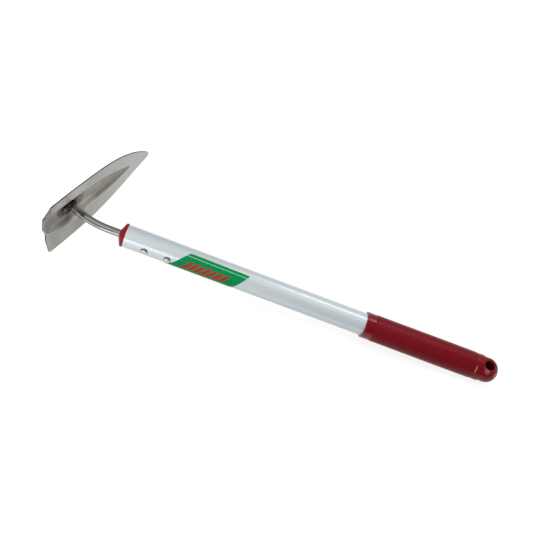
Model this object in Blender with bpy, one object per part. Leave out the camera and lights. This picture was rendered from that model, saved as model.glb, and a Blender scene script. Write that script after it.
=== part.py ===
# Triangle hoe: a pressed stainless blade on a bent stainless rod, in a riveted aluminium tube handle
# with a soft moulded grip. The hoe lies on its side.
# Handle frame, used while the pieces are made: +X runs along the handle from the tube's mouth to
# the grip's end, +Y points to the side that the blade's tip is on, and +Z is up, square to the
# plane in which the rod bends. At the end the whole hoe is moved so that the origin lies under
# the centre of its bounding box.

import math

import bmesh
import bpy
from mathutils import Vector

# Clearances
CLEARANCE = 0.0003
SKIN_CLEARANCE = 0.0001

# Handle tube
TUBE_RADIUS = 0.0125
TUBE_WALL = 0.0013
TUBE_INNER_RADIUS = TUBE_RADIUS - TUBE_WALL

# Rivets, through the tube, the plug and the tang
RIVET_RADIUS = 0.0020
RIVET_HEAD_RADIUS = 0.0039
RIVET_HEAD_HEIGHT = 0.0017
RIVET_SETBACK = 0.0240
RIVET_SPACING = 0.0255
RIVET_TURN = math.radians(78.0)

# Neck rod, from its tang inside the tube to its foot on the blade
ROD_RADIUS = 0.0043
TANG_PAST_RIVET = 0.0085
TANG_LENGTH = RIVET_SETBACK + RIVET_SPACING + TANG_PAST_RIVET
NECK_STRAIGHT = 0.0200
NECK_BEND_RADIUS = 0.0950
NECK_BEND_ANGLE = math.radians(22.0)
FOOT_STRAIGHT = 0.0114

# Front cap: a shallow cone with a rim, and a plug that holds the tang in the tube
CAP_OVERHANG = 0.0005
CAP_RIM_RADIUS = TUBE_RADIUS + CAP_OVERHANG
CAP_RIM_LENGTH = 0.0030
CAP_CONE_LENGTH = 0.0033
CAP_FACE_WIDTH = 0.0016
CAP_EDGE = 0.0005
CAP_BORE_RADIUS = ROD_RADIUS + CLEARANCE
PLUG_RADIUS = TUBE_INNER_RADIUS - CLEARANCE
PLUG_PAST_TANG = 0.0060
PLUG_LENGTH = TANG_LENGTH + PLUG_PAST_TANG
PLUG_CHAMFER = 0.0008

# Grip: a soft sleeve over the tube, with a collar at its mouth and a ring before its solid nose
GRIP_FRONT = 0.2722
GRIP_LENGTH = 0.1586
GRIP_BORE_RADIUS = TUBE_RADIUS + CLEARANCE
GRIP_START_RADIUS = GRIP_BORE_RADIUS + 0.0019
GRIP_RADIUS = GRIP_BORE_RADIUS + 0.0021
GRIP_END_RADIUS = GRIP_BORE_RADIUS + 0.0020
COLLAR_RADIUS = GRIP_BORE_RADIUS + 0.0017
COLLAR_LENGTH = 0.0102
LIP_RADIUS = GRIP_BORE_RADIUS + 0.0019
LIP_LENGTH = 0.0012
RING_FRONT_RADIUS = GRIP_BORE_RADIUS + 0.0015
RING_RADIUS = GRIP_BORE_RADIUS + 0.0020
RING_LENGTH = 0.0080
NOSE_RADIUS = GRIP_BORE_RADIUS + 0.0010
NOSE_STRAIGHT = 0.0076
NOSE_DOME = 0.0130
GROOVE_DEPTH = 0.0003
GROOVE_WIDTH = 0.0009
GRIP_EDGE = 0.0003
SWELL_START_SHARE = 0.55
SWELL_END_SHARE = 0.70
TUBE_END_SETBACK = 0.0080
GRIP_END = GRIP_FRONT + GRIP_LENGTH
NOSE_START = GRIP_END - NOSE_DOME - NOSE_STRAIGHT
RING_START = NOSE_START - RING_LENGTH
TUBE_LENGTH = RING_START - TUBE_END_SETBACK

# Hang hole through the nose, between two milled flats
HANG_HOLE_RADIUS = 0.0054
HANG_HOLE_SETBACK = 0.0136
HANG_FLAT_CUT = 0.0022
HANG_FLAT_HEIGHT = NOSE_RADIUS - HANG_FLAT_CUT
HANG_FLAT_EDGE = 0.0010
HANG_FLAT_SLOPE = 0.35

# Label: a slanted sheet wrapped round the tube. Its slopes are along the tube per way round it.
LABEL_TOP_START = 0.0708
LABEL_TOP_LENGTH = 0.0675
LABEL_FRONT_SLOPE = 0.89
LABEL_REAR_SLOPE = 0.735
LABEL_THICKNESS = 0.00012
LABEL_CORNER = 0.0022
LABEL_TOP_ANGLE = math.radians(-0.5)
LABEL_TOP_DROP = math.radians(5.0)
LABEL_WRAP = math.radians(128.0)

# Blade, measured in its rim plane from the base edge to the tip
BLADE_LENGTH = 0.1518
BLADE_HALF_WIDTH = 0.0445
BLADE_CORNER_RADIUS = 0.0053
BLADE_TIP_LENGTH = 0.0040
BLADE_TIP_OVERSHOOT = 0.0037
BLADE_TIP_POWER = 3.0
BLADE_SIDE_POWER = 3.2
BLADE_THICKNESS = 0.0016
BLADE_EDGE_THICKNESS = 0.0010
WELD_SETBACK = 0.0400

# The rim sags a little from past the weld towards the tip, and the tip curls towards the handle
RIM_SAG = 0.0011
SAG_PAST_WELD = 0.0100
SAG_START = WELD_SETBACK + SAG_PAST_WELD
SAG_END_SETBACK = 0.0418
SAG_END = BLADE_LENGTH - SAG_END_SETBACK
TIP_CURL = 0.0025
CURL_LENGTH = 0.0318

# The base edge is drawn in a little in the middle, and more where it meets the panel's sides
BASE_HOLLOW = 0.0012
BASE_NOTCH = 0.0021
BASE_NOTCH_WIDTH = 0.0050
BASE_EDGE_REACH = 0.0140

# Sunk panel of the blade, between its two ground bands
BAND_WIDTH = 0.0226
BASE_BAND_WIDTH = 0.0266
PANEL_HALF_WIDTH = BLADE_HALF_WIDTH - BAND_WIDTH
PANEL_BASE_HALF_WIDTH = BLADE_HALF_WIDTH - BASE_BAND_WIDTH
PANEL_WIDEST_SETBACK = 0.0300
PANEL_APEX_SETBACK = 0.0260
PANEL_SIDE_POWER = 2.2
PANEL_FLOOR_SHARE = 0.54
PANEL_DEPTH = 0.0086
PANEL_BASE_DEPTH = 0.0091
PANEL_FLAT_BEFORE_WELD = 0.0160
PANEL_FLAT_PAST_WELD = 0.0200
PANEL_APEX = BLADE_LENGTH - PANEL_APEX_SETBACK
PANEL_FADE_START = WELD_SETBACK + PANEL_FLAT_PAST_WELD
BAND_INNER_DEPTH = 0.0029
BAND_BASE_DEPTH = 0.0075
BAND_TWIST_LENGTH = 0.0400
NARROWEST_PANEL_SHARE = 0.05

# Weld bead round the rod's foot
BEAD_WIDTH = 0.0033
BEAD_HEIGHT = 0.0036
BEAD_TOE = 0.0042

# Facets
TURN_STEPS = 56
ROD_STEPS = 28
HOLE_STEPS = 24
BEND_STEPS = 16
DOME_STEPS = 10
HEAD_STEPS = 5
BEAD_TURN_STEPS = 48
BEAD_ARC_STEPS = 5
LABEL_CORNER_STEPS = 4
LABEL_ROW_STEPS = 18
LABEL_COLUMN_STEPS = 8
CORNER_STEPS = 5
SIDE_STEPS = 34
TIP_STEPS = 8
WALL_STEPS = 5
BAND_STEPS = 6

# Colours, as linear values, with roughness and metallic
STAINLESS_GROUND = ((0.42, 0.42, 0.39, 1.0), 0.38, 1.0)
STAINLESS_POLISHED = ((0.50, 0.50, 0.50, 1.0), 0.14, 1.0)
WELD_SCALE = ((0.05, 0.04, 0.035, 1.0), 0.55, 1.0)
RED_PLASTIC = ((0.36, 0.010, 0.014, 1.0), 0.30, 0.0)
PAINTED_TUBE = ((0.60, 0.65, 0.66, 1.0), 0.32, 0.0)
RIVET_METAL = ((0.55, 0.53, 0.48, 1.0), 0.32, 1.0)
GREEN_LABEL = ((0.006, 0.25, 0.075, 1.0), 0.35, 0.0)
GRIP_VINYL = ((0.17, 0.010, 0.013, 1.0), 0.55, 0.0)


def clear_scene():
    for item in list(bpy.data.objects):
        bpy.data.objects.remove(item)


def make_material(name, look):
    colour, roughness, metallic = look
    material = bpy.data.materials.new(name)
    material.use_nodes = True
    shader = material.node_tree.nodes["Principled BSDF"]
    shader.inputs["Base Color"].default_value = colour
    shader.inputs["Roughness"].default_value = roughness
    shader.inputs["Metallic"].default_value = metallic
    material.diffuse_color = colour
    return material


def add_object(name, shape, look, parent):
    """Turn a bmesh into a named object. Without a look it is a cutter, which isn't rendered."""
    mesh = bpy.data.meshes.new(name)
    bmesh.ops.recalc_face_normals(shape, faces=shape.faces)
    shape.to_mesh(mesh)
    shape.free()
    mesh.shade_smooth()
    mesh.set_sharp_from_angle(angle=math.radians(30.0))
    item = bpy.data.objects.new(name, mesh)
    bpy.context.scene.collection.objects.link(item)
    item.parent = parent
    if look is None:
        item.hide_render = True
        item.display_type = "WIRE"
    else:
        mesh.materials.append(make_material(name, look))
    return item


def cut(item, cutter):
    modifier = item.modifiers.new(cutter.name, "BOOLEAN")
    modifier.operation = "DIFFERENCE"
    modifier.object = cutter
    modifier.solver = "EXACT"


def turned(name, profile, look, parent, steps=TURN_STEPS):
    """Turn a closed profile of (along, radius) points about the X axis."""
    shape = bmesh.new()
    corners = [shape.verts.new((along, 0.0, radius)) for along, radius in profile]
    edges = []
    for index, corner in enumerate(corners):
        edges.append(shape.edges.new((corner, corners[(index + 1) % len(corners)])))
    on_axis = [edge for edge in edges if all(abs(vert.co.z) < 1e-7 for vert in edge.verts)]
    bmesh.ops.delete(shape, geom=on_axis, context="EDGES")
    bmesh.ops.spin(
        shape,
        geom=list(shape.verts) + list(shape.edges),
        cent=(0.0, 0.0, 0.0),
        axis=(1.0, 0.0, 0.0),
        angle=2.0 * math.pi,
        steps=steps,
        use_merge=True,
    )
    bmesh.ops.remove_doubles(shape, verts=shape.verts, dist=1e-6)
    return add_object(name, shape, look, parent)


def rod_cutter(name, radius, length, parent, place, turn):
    """A straight round cutter along its own Z axis, placed and turned about X."""
    shape = bmesh.new()
    bmesh.ops.create_cone(
        shape,
        cap_ends=True,
        segments=HOLE_STEPS,
        radius1=radius,
        radius2=radius,
        depth=length,
    )
    item = add_object(name, shape, None, parent)
    item.location = place
    item.rotation_euler = (turn, 0.0, 0.0)
    return item


def smooth_step(value):
    value = min(max(value, 0.0), 1.0)
    return value * value * (3.0 - 2.0 * value)


def mix(first, second, share):
    return first + (second - first) * share


# Blade

def blade_half_width(along):
    """Half width of the blade: a rounded corner, a long curved side and a blunt round tip."""
    if along < BLADE_CORNER_RADIUS:
        inset = BLADE_CORNER_RADIUS - along
        rise = math.sqrt(max(BLADE_CORNER_RADIUS ** 2 - inset ** 2, 0.0))
        return BLADE_HALF_WIDTH - BLADE_CORNER_RADIUS + rise
    reach = BLADE_LENGTH + BLADE_TIP_OVERSHOOT - BLADE_CORNER_RADIUS
    share = (along - BLADE_CORNER_RADIUS) / reach
    width = BLADE_HALF_WIDTH * (1.0 - share ** BLADE_SIDE_POWER)
    tip_share = max(along - (BLADE_LENGTH - BLADE_TIP_LENGTH), 0.0) / BLADE_TIP_LENGTH
    return width * max(1.0 - tip_share ** BLADE_TIP_POWER, 0.0) ** (1.0 / BLADE_TIP_POWER)


def panel_half_width(along):
    """Half width of the sunk panel. Past its apex the middle strip lies level with the bands."""
    if along < PANEL_WIDEST_SETBACK:
        share = smooth_step(along / PANEL_WIDEST_SETBACK)
        width = mix(PANEL_BASE_HALF_WIDTH, PANEL_HALF_WIDTH, share)
    else:
        share = min((along - PANEL_WIDEST_SETBACK) / (PANEL_APEX - PANEL_WIDEST_SETBACK), 1.0)
        width = PANEL_HALF_WIDTH * (1.0 - share ** PANEL_SIDE_POWER)
    return max(width, NARROWEST_PANEL_SHARE * blade_half_width(along))


def panel_fade(along):
    return 1.0 - smooth_step((along - PANEL_FADE_START) / (PANEL_APEX - PANEL_FADE_START))


def rim_rise(along):
    """Height of the rim over its plane: the slight sag, then the curl of the tip."""
    sag = RIM_SAG * smooth_step((along - SAG_START) / (SAG_END - SAG_START))
    curl_share = max(along - (BLADE_LENGTH - CURL_LENGTH), 0.0) / CURL_LENGTH
    return TIP_CURL * curl_share ** 2 - sag


def base_shift(across):
    """How far the base edge lies towards the tip, at a place across the blade."""
    distance = abs(across)
    hollow = BASE_HOLLOW * max(1.0 - (distance / BLADE_HALF_WIDTH) ** 2, 0.0)
    notch = BASE_NOTCH * math.exp(-((distance - PANEL_BASE_HALF_WIDTH) / BASE_NOTCH_WIDTH) ** 2)
    return hollow + notch


def shifted(along, across):
    """Place along the blade, with the base edge drawn in and the rest left where it is."""
    return along + base_shift(across) * (1.0 - smooth_step(along / BASE_EDGE_REACH))


def band_depth(along):
    """How far the inner edge of a ground band lies below the rim."""
    share = max(1.0 - along / BAND_TWIST_LENGTH, 0.0) ** 2
    return mix(BAND_INNER_DEPTH, BAND_BASE_DEPTH, share) * panel_fade(along)


def panel_depth(along):
    """How far the floor of the panel lies below the rim."""
    share = smooth_step(along / (WELD_SETBACK - PANEL_FLAT_BEFORE_WELD))
    return mix(PANEL_BASE_DEPTH, PANEL_DEPTH, share) * panel_fade(along)


def blade_height(along, across):
    """Height of the blade's upper face, the one towards the handle, over the rim's plane."""
    inner = panel_half_width(along)
    distance = abs(across)
    if distance >= inner:
        share = (distance - inner) / (blade_half_width(along) - inner)
        return rim_rise(along) - band_depth(along) * (1.0 - share)
    floor = inner * PANEL_FLOOR_SHARE
    wall = smooth_step((distance - floor) / (inner - floor))
    return rim_rise(along) - mix(panel_depth(along), band_depth(along), wall)


def blade_thickness(along, across):
    """The sheet keeps its thickness on the panel and is ground thinner towards its outer edges."""
    inner = panel_half_width(along)
    share = (abs(across) - inner) / (blade_half_width(along) - inner)
    return mix(BLADE_THICKNESS, BLADE_EDGE_THICKNESS, max(share, 0.0))


def blade_columns(along):
    """Places across the blade: band, panel wall, panel floor, and the same again."""
    outer = blade_half_width(along)
    inner = panel_half_width(along)
    floor = inner * PANEL_FLOOR_SHARE
    half = [floor * 0.5, floor]
    half += [mix(floor, inner, step / WALL_STEPS) for step in range(1, WALL_STEPS + 1)]
    half += [mix(inner, outer, step / BAND_STEPS) for step in range(1, BAND_STEPS + 1)]
    return [-place for place in reversed(half)] + [0.0] + half


def blade_stations():
    """Places along the blade, closer together round its corners and its tip."""
    tip_start = BLADE_LENGTH - BLADE_TIP_LENGTH
    stations = []
    for step in range(CORNER_STEPS):
        angle = 0.5 * math.pi * step / CORNER_STEPS
        stations.append(BLADE_CORNER_RADIUS * (1.0 - math.cos(angle)))
    for step in range(SIDE_STEPS):
        stations.append(mix(BLADE_CORNER_RADIUS, tip_start, step / SIDE_STEPS))
    for step in range(TIP_STEPS):
        angle = 0.5 * math.pi * step / TIP_STEPS
        stations.append(tip_start + BLADE_TIP_LENGTH * math.sin(angle))
    return stations


def place_on_blade(item, along, height):
    """Put a piece made in the blade's own axes at a place on the blade's centre line.

    The blade's own X runs to the tip, its Y across the blade and its Z towards the handle.
    """
    tip_way = Vector((math.sin(NECK_BEND_ANGLE), math.cos(NECK_BEND_ANGLE), 0.0))
    handle_way = Vector((math.cos(NECK_BEND_ANGLE), -math.sin(NECK_BEND_ANGLE), 0.0))
    foot = neck_path()[-1][0] + handle_way * (PANEL_DEPTH - CLEARANCE)
    item.location = foot + tip_way * (along - WELD_SETBACK) + handle_way * height
    item.rotation_euler = (math.radians(90.0), 0.0, math.radians(90.0) - NECK_BEND_ANGLE)


def rim_loop(rows, tip):
    """Corner points once round the blade: along one side, over the tip, back, and along the base."""
    one_side = [row[0] for row in rows]
    other_side = [row[-1] for row in reversed(rows)]
    base = list(reversed(rows[0][1:-1]))
    return one_side + [tip] + other_side + base


def join_loops(shape, first, second):
    """A band of faces between two closed loops of as many points."""
    for index in range(len(first)):
        after = (index + 1) % len(first)
        shape.faces.new((first[index], first[after], second[after], second[index]))


def join_rows(shape, rows):
    """A sheet of faces over rows of as many points."""
    for first, second in zip(rows, rows[1:]):
        for column in range(len(first) - 1):
            shape.faces.new((first[column], second[column], second[column + 1], first[column + 1]))


def make_blade(parent):
    shape = bmesh.new()
    upper_rows = []
    lower_rows = []
    for along in blade_stations():
        upper = []
        lower = []
        for across in blade_columns(along):
            height = blade_height(along, across)
            under = height - blade_thickness(along, across)
            place = shifted(along, across)
            upper.append(shape.verts.new((place, across, height)))
            lower.append(shape.verts.new((place, across, under)))
        upper_rows.append(upper)
        lower_rows.append(lower)
    tip_height = rim_rise(BLADE_LENGTH)
    tip_upper = shape.verts.new((BLADE_LENGTH, 0.0, tip_height))
    tip_lower = shape.verts.new((BLADE_LENGTH, 0.0, tip_height - BLADE_EDGE_THICKNESS))
    for rows, tip in ((upper_rows, tip_upper), (lower_rows, tip_lower)):
        join_rows(shape, rows)
        last = rows[-1]
        for column in range(len(last) - 1):
            shape.faces.new((last[column], tip, last[column + 1]))
    join_loops(shape, rim_loop(upper_rows, tip_upper), rim_loop(lower_rows, tip_lower))
    blade = add_object("blade", shape, STAINLESS_GROUND, parent)
    place_on_blade(blade, 0.0, 0.0)
    return blade


# Neck rod and its weld

def neck_path():
    """Centre points and headings of the rod, from the end of its tang to its foot."""
    points = [
        (Vector((TANG_LENGTH, 0.0, 0.0)), 0.0),
        (Vector((-NECK_STRAIGHT, 0.0, 0.0)), 0.0),
    ]
    centre = Vector((-NECK_STRAIGHT, NECK_BEND_RADIUS, 0.0))
    for step in range(1, BEND_STEPS + 1):
        angle = NECK_BEND_ANGLE * step / BEND_STEPS
        spoke = Vector((-math.sin(angle), -math.cos(angle), 0.0))
        points.append((centre + spoke * NECK_BEND_RADIUS, angle))
    heading = Vector((-math.cos(NECK_BEND_ANGLE), math.sin(NECK_BEND_ANGLE), 0.0))
    points.append((points[-1][0] + heading * FOOT_STRAIGHT, NECK_BEND_ANGLE))
    return points


def make_neck_rod(parent):
    shape = bmesh.new()
    rings = []
    for centre, heading in neck_path():
        across = Vector((math.sin(heading), math.cos(heading), 0.0))
        ring = []
        for step in range(ROD_STEPS):
            angle = 2.0 * math.pi * step / ROD_STEPS
            spoke = across * math.cos(angle) + Vector((0.0, 0.0, 1.0)) * math.sin(angle)
            ring.append(shape.verts.new(centre + spoke * ROD_RADIUS))
        rings.append(ring)
    for first, second in zip(rings, rings[1:]):
        join_loops(shape, first, second)
    shape.faces.new(rings[0])
    shape.faces.new(list(reversed(rings[-1])))
    return add_object("neck_rod", shape, STAINLESS_POLISHED, parent)


def make_weld_bead(parent):
    """A rounded ring round the rod's foot, with a longer toe towards the blade's base edge."""
    inner = ROD_RADIUS + CLEARANCE
    shape = bmesh.new()
    sections = []
    for step in range(BEAD_TURN_STEPS):
        turn = 2.0 * math.pi * step / BEAD_TURN_STEPS
        towards_base = max(-math.cos(turn), 0.0)
        width = BEAD_WIDTH + BEAD_TOE * towards_base ** 2
        profile = [(inner, 0.0)]
        for arc_step in range(BEAD_ARC_STEPS + 1):
            angle = 0.5 * math.pi * arc_step / BEAD_ARC_STEPS
            profile.append((inner + width * math.cos(angle), BEAD_HEIGHT * math.sin(angle)))
        section = []
        for radius, height in profile:
            spot = (radius * math.cos(turn), radius * math.sin(turn), height)
            section.append(shape.verts.new(spot))
        sections.append(section)
    for index, section in enumerate(sections):
        join_loops(shape, section, sections[(index + 1) % BEAD_TURN_STEPS])
    bead = add_object("weld_bead", shape, WELD_SCALE, parent)
    place_on_blade(bead, WELD_SETBACK, CLEARANCE - PANEL_DEPTH)
    return bead


# Handle

def rivet_places():
    return [RIVET_SETBACK, RIVET_SETBACK + RIVET_SPACING]


def make_rivet_holes(parent):
    holes = []
    for index, place in enumerate(rivet_places()):
        name = f"rivet_hole_{index}"
        radius = RIVET_RADIUS + CLEARANCE
        length = 4.0 * TUBE_RADIUS
        holes.append(rod_cutter(name, radius, length, parent, (place, 0.0, 0.0), RIVET_TURN))
    return holes


def make_front_cap(parent):
    rim_front = -CLEARANCE - CAP_RIM_LENGTH
    face = rim_front - CAP_CONE_LENGTH
    face_radius = CAP_BORE_RADIUS + CAP_FACE_WIDTH
    profile = [
        (face, CAP_BORE_RADIUS),
        (face, face_radius - CAP_EDGE),
        (face + 0.5 * CAP_EDGE, face_radius),
        (rim_front, CAP_RIM_RADIUS - CAP_EDGE),
        (rim_front + CAP_EDGE, CAP_RIM_RADIUS),
        (-CLEARANCE - CAP_EDGE, CAP_RIM_RADIUS),
        (-CLEARANCE, CAP_RIM_RADIUS - CAP_EDGE),
        (-CLEARANCE, PLUG_RADIUS),
        (PLUG_LENGTH - PLUG_CHAMFER, PLUG_RADIUS),
        (PLUG_LENGTH, PLUG_RADIUS - PLUG_CHAMFER),
        (PLUG_LENGTH, CAP_BORE_RADIUS),
    ]
    return turned("front_cap", profile, RED_PLASTIC, parent)


def make_handle_tube(parent):
    profile = [
        (0.0, TUBE_INNER_RADIUS),
        (0.0, TUBE_RADIUS),
        (TUBE_LENGTH, TUBE_RADIUS),
        (TUBE_LENGTH, TUBE_INNER_RADIUS),
    ]
    return turned("handle_tube", profile, PAINTED_TUBE, parent)


def make_rivet(name, place, parent):
    """A round rivet along its own X axis, with a domed head at each end."""
    seat = TUBE_RADIUS + SKIN_CLEARANCE
    dome = []
    for step in range(HEAD_STEPS):
        angle = 0.5 * math.pi * step / HEAD_STEPS
        height = seat + RIVET_HEAD_HEIGHT * math.sin(angle)
        dome.append((height, RIVET_HEAD_RADIUS * math.cos(angle)))
    dome.append((seat + RIVET_HEAD_HEIGHT, 0.0))
    profile = [(-along, radius) for along, radius in reversed(dome)]
    profile += [(-seat, RIVET_RADIUS), (seat, RIVET_RADIUS)]
    profile += dome
    rivet = turned(name, profile, RIVET_METAL, parent, HOLE_STEPS)
    rivet.location = (place, 0.0, 0.0)
    direction = Vector((0.0, -math.sin(RIVET_TURN), math.cos(RIVET_TURN)))
    rivet.rotation_mode = "QUATERNION"
    rivet.rotation_quaternion = Vector((1.0, 0.0, 0.0)).rotation_difference(direction)
    return rivet


def grip_profile():
    """Outline of the grip: from the lip at its mouth along its outside to the nose, and back."""
    lip_end = GRIP_FRONT + LIP_LENGTH
    collar_end = GRIP_FRONT + COLLAR_LENGTH
    bore_end = TUBE_LENGTH + CLEARANCE
    profile = [
        (GRIP_FRONT, GRIP_BORE_RADIUS),
        (GRIP_FRONT, LIP_RADIUS - GRIP_EDGE),
        (GRIP_FRONT + GRIP_EDGE, LIP_RADIUS),
        (lip_end, LIP_RADIUS),
        (lip_end + GRIP_EDGE, COLLAR_RADIUS),
        (collar_end, COLLAR_RADIUS),
        (collar_end + 0.5 * GROOVE_WIDTH, COLLAR_RADIUS - GROOVE_DEPTH),
        (collar_end + GROOVE_WIDTH, GRIP_START_RADIUS),
        (GRIP_FRONT + GRIP_LENGTH * SWELL_START_SHARE, GRIP_RADIUS),
        (GRIP_FRONT + GRIP_LENGTH * SWELL_END_SHARE, GRIP_RADIUS),
        (RING_START - GROOVE_WIDTH, GRIP_END_RADIUS),
        (RING_START - 0.5 * GROOVE_WIDTH, RING_FRONT_RADIUS - GROOVE_DEPTH),
        (RING_START, RING_FRONT_RADIUS),
        (NOSE_START - GRIP_EDGE, RING_RADIUS),
        (NOSE_START, NOSE_RADIUS),
    ]
    for step in range(DOME_STEPS):
        angle = 0.5 * math.pi * step / DOME_STEPS
        along = GRIP_END - NOSE_DOME * (1.0 - math.sin(angle))
        profile.append((along, NOSE_RADIUS * math.cos(angle)))
    profile += [(GRIP_END, 0.0), (bore_end, 0.0), (bore_end, GRIP_BORE_RADIUS)]
    return profile


def flat_cutter(name, side, parent):
    """A block that mills one flat beside the hang hole, with a sloping shoulder towards the ring."""
    start = NOSE_START + HANG_FLAT_EDGE
    end = GRIP_END + GRIP_RADIUS
    top = 2.0 * GRIP_RADIUS
    shoulder = start - (top - HANG_FLAT_HEIGHT) * HANG_FLAT_SLOPE
    outline = [(start, HANG_FLAT_HEIGHT), (end, HANG_FLAT_HEIGHT), (end, top), (shoulder, top)]
    shape = bmesh.new()
    base = [shape.verts.new((along, -top, side * height)) for along, height in outline]
    result = bmesh.ops.extrude_face_region(shape, geom=[shape.faces.new(base)])
    moved = [element for element in result["geom"] if isinstance(element, bmesh.types.BMVert)]
    bmesh.ops.translate(shape, verts=moved, vec=(0.0, 2.0 * top, 0.0))
    return add_object(name, shape, None, parent)


def make_grip(parent):
    grip = turned("grip", grip_profile(), GRIP_VINYL, parent)
    hole_spot = (GRIP_END - HANG_HOLE_SETBACK, 0.0, 0.0)
    hole_length = 4.0 * GRIP_RADIUS
    cut(grip, flat_cutter("hang_flat_upper", 1.0, parent))
    cut(grip, flat_cutter("hang_flat_lower", -1.0, parent))
    cut(grip, rod_cutter("hang_hole", HANG_HOLE_RADIUS, hole_length, parent, hole_spot, 0.0))
    return grip


# Label

def label_rows():
    """Ways round the tube from the label's top edge, closer together at its rounded corners."""
    wrap = LABEL_WRAP * TUBE_RADIUS
    corner = []
    for step in range(LABEL_CORNER_STEPS):
        angle = 0.5 * math.pi * step / LABEL_CORNER_STEPS
        corner.append(LABEL_CORNER * (1.0 - math.cos(angle)))
    middle = []
    for step in range(LABEL_ROW_STEPS + 1):
        middle.append(mix(LABEL_CORNER, wrap - LABEL_CORNER, step / LABEL_ROW_STEPS))
    return corner + middle + [wrap - way for way in reversed(corner)]


def label_limits(way):
    """Start and end of the label along the tube at a way round it, with its corners rounded."""
    edge = min(way, LABEL_WRAP * TUBE_RADIUS - way)
    inset = 0.0
    if edge < LABEL_CORNER:
        inset = LABEL_CORNER - math.sqrt(max(LABEL_CORNER ** 2 - (LABEL_CORNER - edge) ** 2, 0.0))
    start = LABEL_TOP_START - way * LABEL_FRONT_SLOPE + inset
    end = LABEL_TOP_START + LABEL_TOP_LENGTH - way * LABEL_REAR_SLOPE - inset
    return start, end


def make_label(parent):
    """A thin sheet on the tube, measured by its angle about X from +Z towards +Y."""
    inner = TUBE_RADIUS + SKIN_CLEARANCE
    shape = bmesh.new()
    edges = []
    for radius in (inner, inner + LABEL_THICKNESS):
        rows = []
        for way in label_rows():
            start, end = label_limits(way)
            row = []
            for column in range(LABEL_COLUMN_STEPS + 1):
                along = mix(start, end, column / LABEL_COLUMN_STEPS)
                drop = LABEL_TOP_DROP * (along - start) / LABEL_TOP_LENGTH
                angle = LABEL_TOP_ANGLE - drop - way / TUBE_RADIUS
                spot = (along, radius * math.sin(angle), radius * math.cos(angle))
                row.append(shape.verts.new(spot))
            rows.append(row)
        join_rows(shape, rows)
        edges.append(sheet_edge(rows))
    join_loops(shape, edges[0], edges[1])
    return add_object("label", shape, GREEN_LABEL, parent)


def sheet_edge(rows):
    """Corner points once round a sheet of rows."""
    first_side = [row[-1] for row in rows[1:]]
    last_row = list(reversed(rows[-1][:-1]))
    second_side = [row[0] for row in reversed(rows[1:-1])]
    return rows[0] + first_side + last_row + second_side


# Whole hoe

def bounding_box(items):
    bpy.context.view_layer.update()
    depsgraph = bpy.context.evaluated_depsgraph_get()
    low = Vector((math.inf, math.inf, math.inf))
    high = -low
    for item in items:
        for corner in item.evaluated_get(depsgraph).data.vertices:
            place = item.matrix_world @ corner.co
            low = Vector(map(min, low, place))
            high = Vector(map(max, high, place))
    return low, high


def build():
    clear_scene()
    hoe = bpy.data.objects.new("triangle_hoe", None)
    bpy.context.scene.collection.objects.link(hoe)
    blade = make_blade(hoe)
    rod = make_neck_rod(hoe)
    bead = make_weld_bead(hoe)
    cap = make_front_cap(hoe)
    tube = make_handle_tube(hoe)
    for hole in make_rivet_holes(hoe):
        for drilled in (rod, cap, tube):
            cut(drilled, hole)
    pieces = [blade, rod, bead, cap, tube, make_label(hoe), make_grip(hoe)]
    for name, place in zip(("rivet_front", "rivet_rear"), rivet_places()):
        pieces.append(make_rivet(name, place, hoe))
    low, high = bounding_box(pieces)
    hoe.location = (-0.5 * (low.x + high.x), -0.5 * (low.y + high.y), -low.z)


build()
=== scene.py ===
import math

import bmesh
import bpy
from mathutils import Matrix, Vector, noise


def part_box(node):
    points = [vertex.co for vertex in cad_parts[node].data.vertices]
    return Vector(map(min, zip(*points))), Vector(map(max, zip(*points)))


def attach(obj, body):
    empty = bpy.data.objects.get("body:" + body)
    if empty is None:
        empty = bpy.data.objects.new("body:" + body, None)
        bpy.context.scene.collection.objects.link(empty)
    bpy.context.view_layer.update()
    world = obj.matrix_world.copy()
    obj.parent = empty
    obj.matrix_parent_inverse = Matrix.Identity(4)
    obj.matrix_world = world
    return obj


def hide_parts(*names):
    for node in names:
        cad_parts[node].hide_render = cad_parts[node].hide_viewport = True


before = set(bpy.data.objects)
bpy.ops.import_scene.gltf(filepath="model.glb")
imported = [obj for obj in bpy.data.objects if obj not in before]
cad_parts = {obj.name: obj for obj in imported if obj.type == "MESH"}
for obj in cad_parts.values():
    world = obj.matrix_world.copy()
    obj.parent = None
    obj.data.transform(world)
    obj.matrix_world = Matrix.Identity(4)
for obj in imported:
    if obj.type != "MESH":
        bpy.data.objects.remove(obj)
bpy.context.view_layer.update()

# The tube, the grip and the label give the places of everything else
tube_low, tube_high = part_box("handle_tube")
grip_low, grip_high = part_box("grip")
MOUTH = Vector((tube_low.x, 0.5 * (tube_low.y + tube_high.y), 0.5 * (tube_low.z + tube_high.z)))
TUBE_RADIUS = 0.5 * (tube_high.z - tube_low.z)
TUBE_LENGTH = tube_high.x - tube_low.x
GRIP_FRONT = grip_low.x - MOUTH.x
GRIP_END = grip_high.x - MOUTH.x

# Rod, in the handle's own axes: X from the tube's mouth to the grip, Y to the blade's tip, Z up
CLEARANCE = 0.0003
ROD_RADIUS = 0.0043
NECK_STRAIGHT = 0.0200
NECK_BEND_RADIUS = 0.0950
NECK_BEND_ANGLE = math.radians(22.0)
FOOT_STRAIGHT = 0.0114
ROD_IN_CAP = 0.0120

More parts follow.
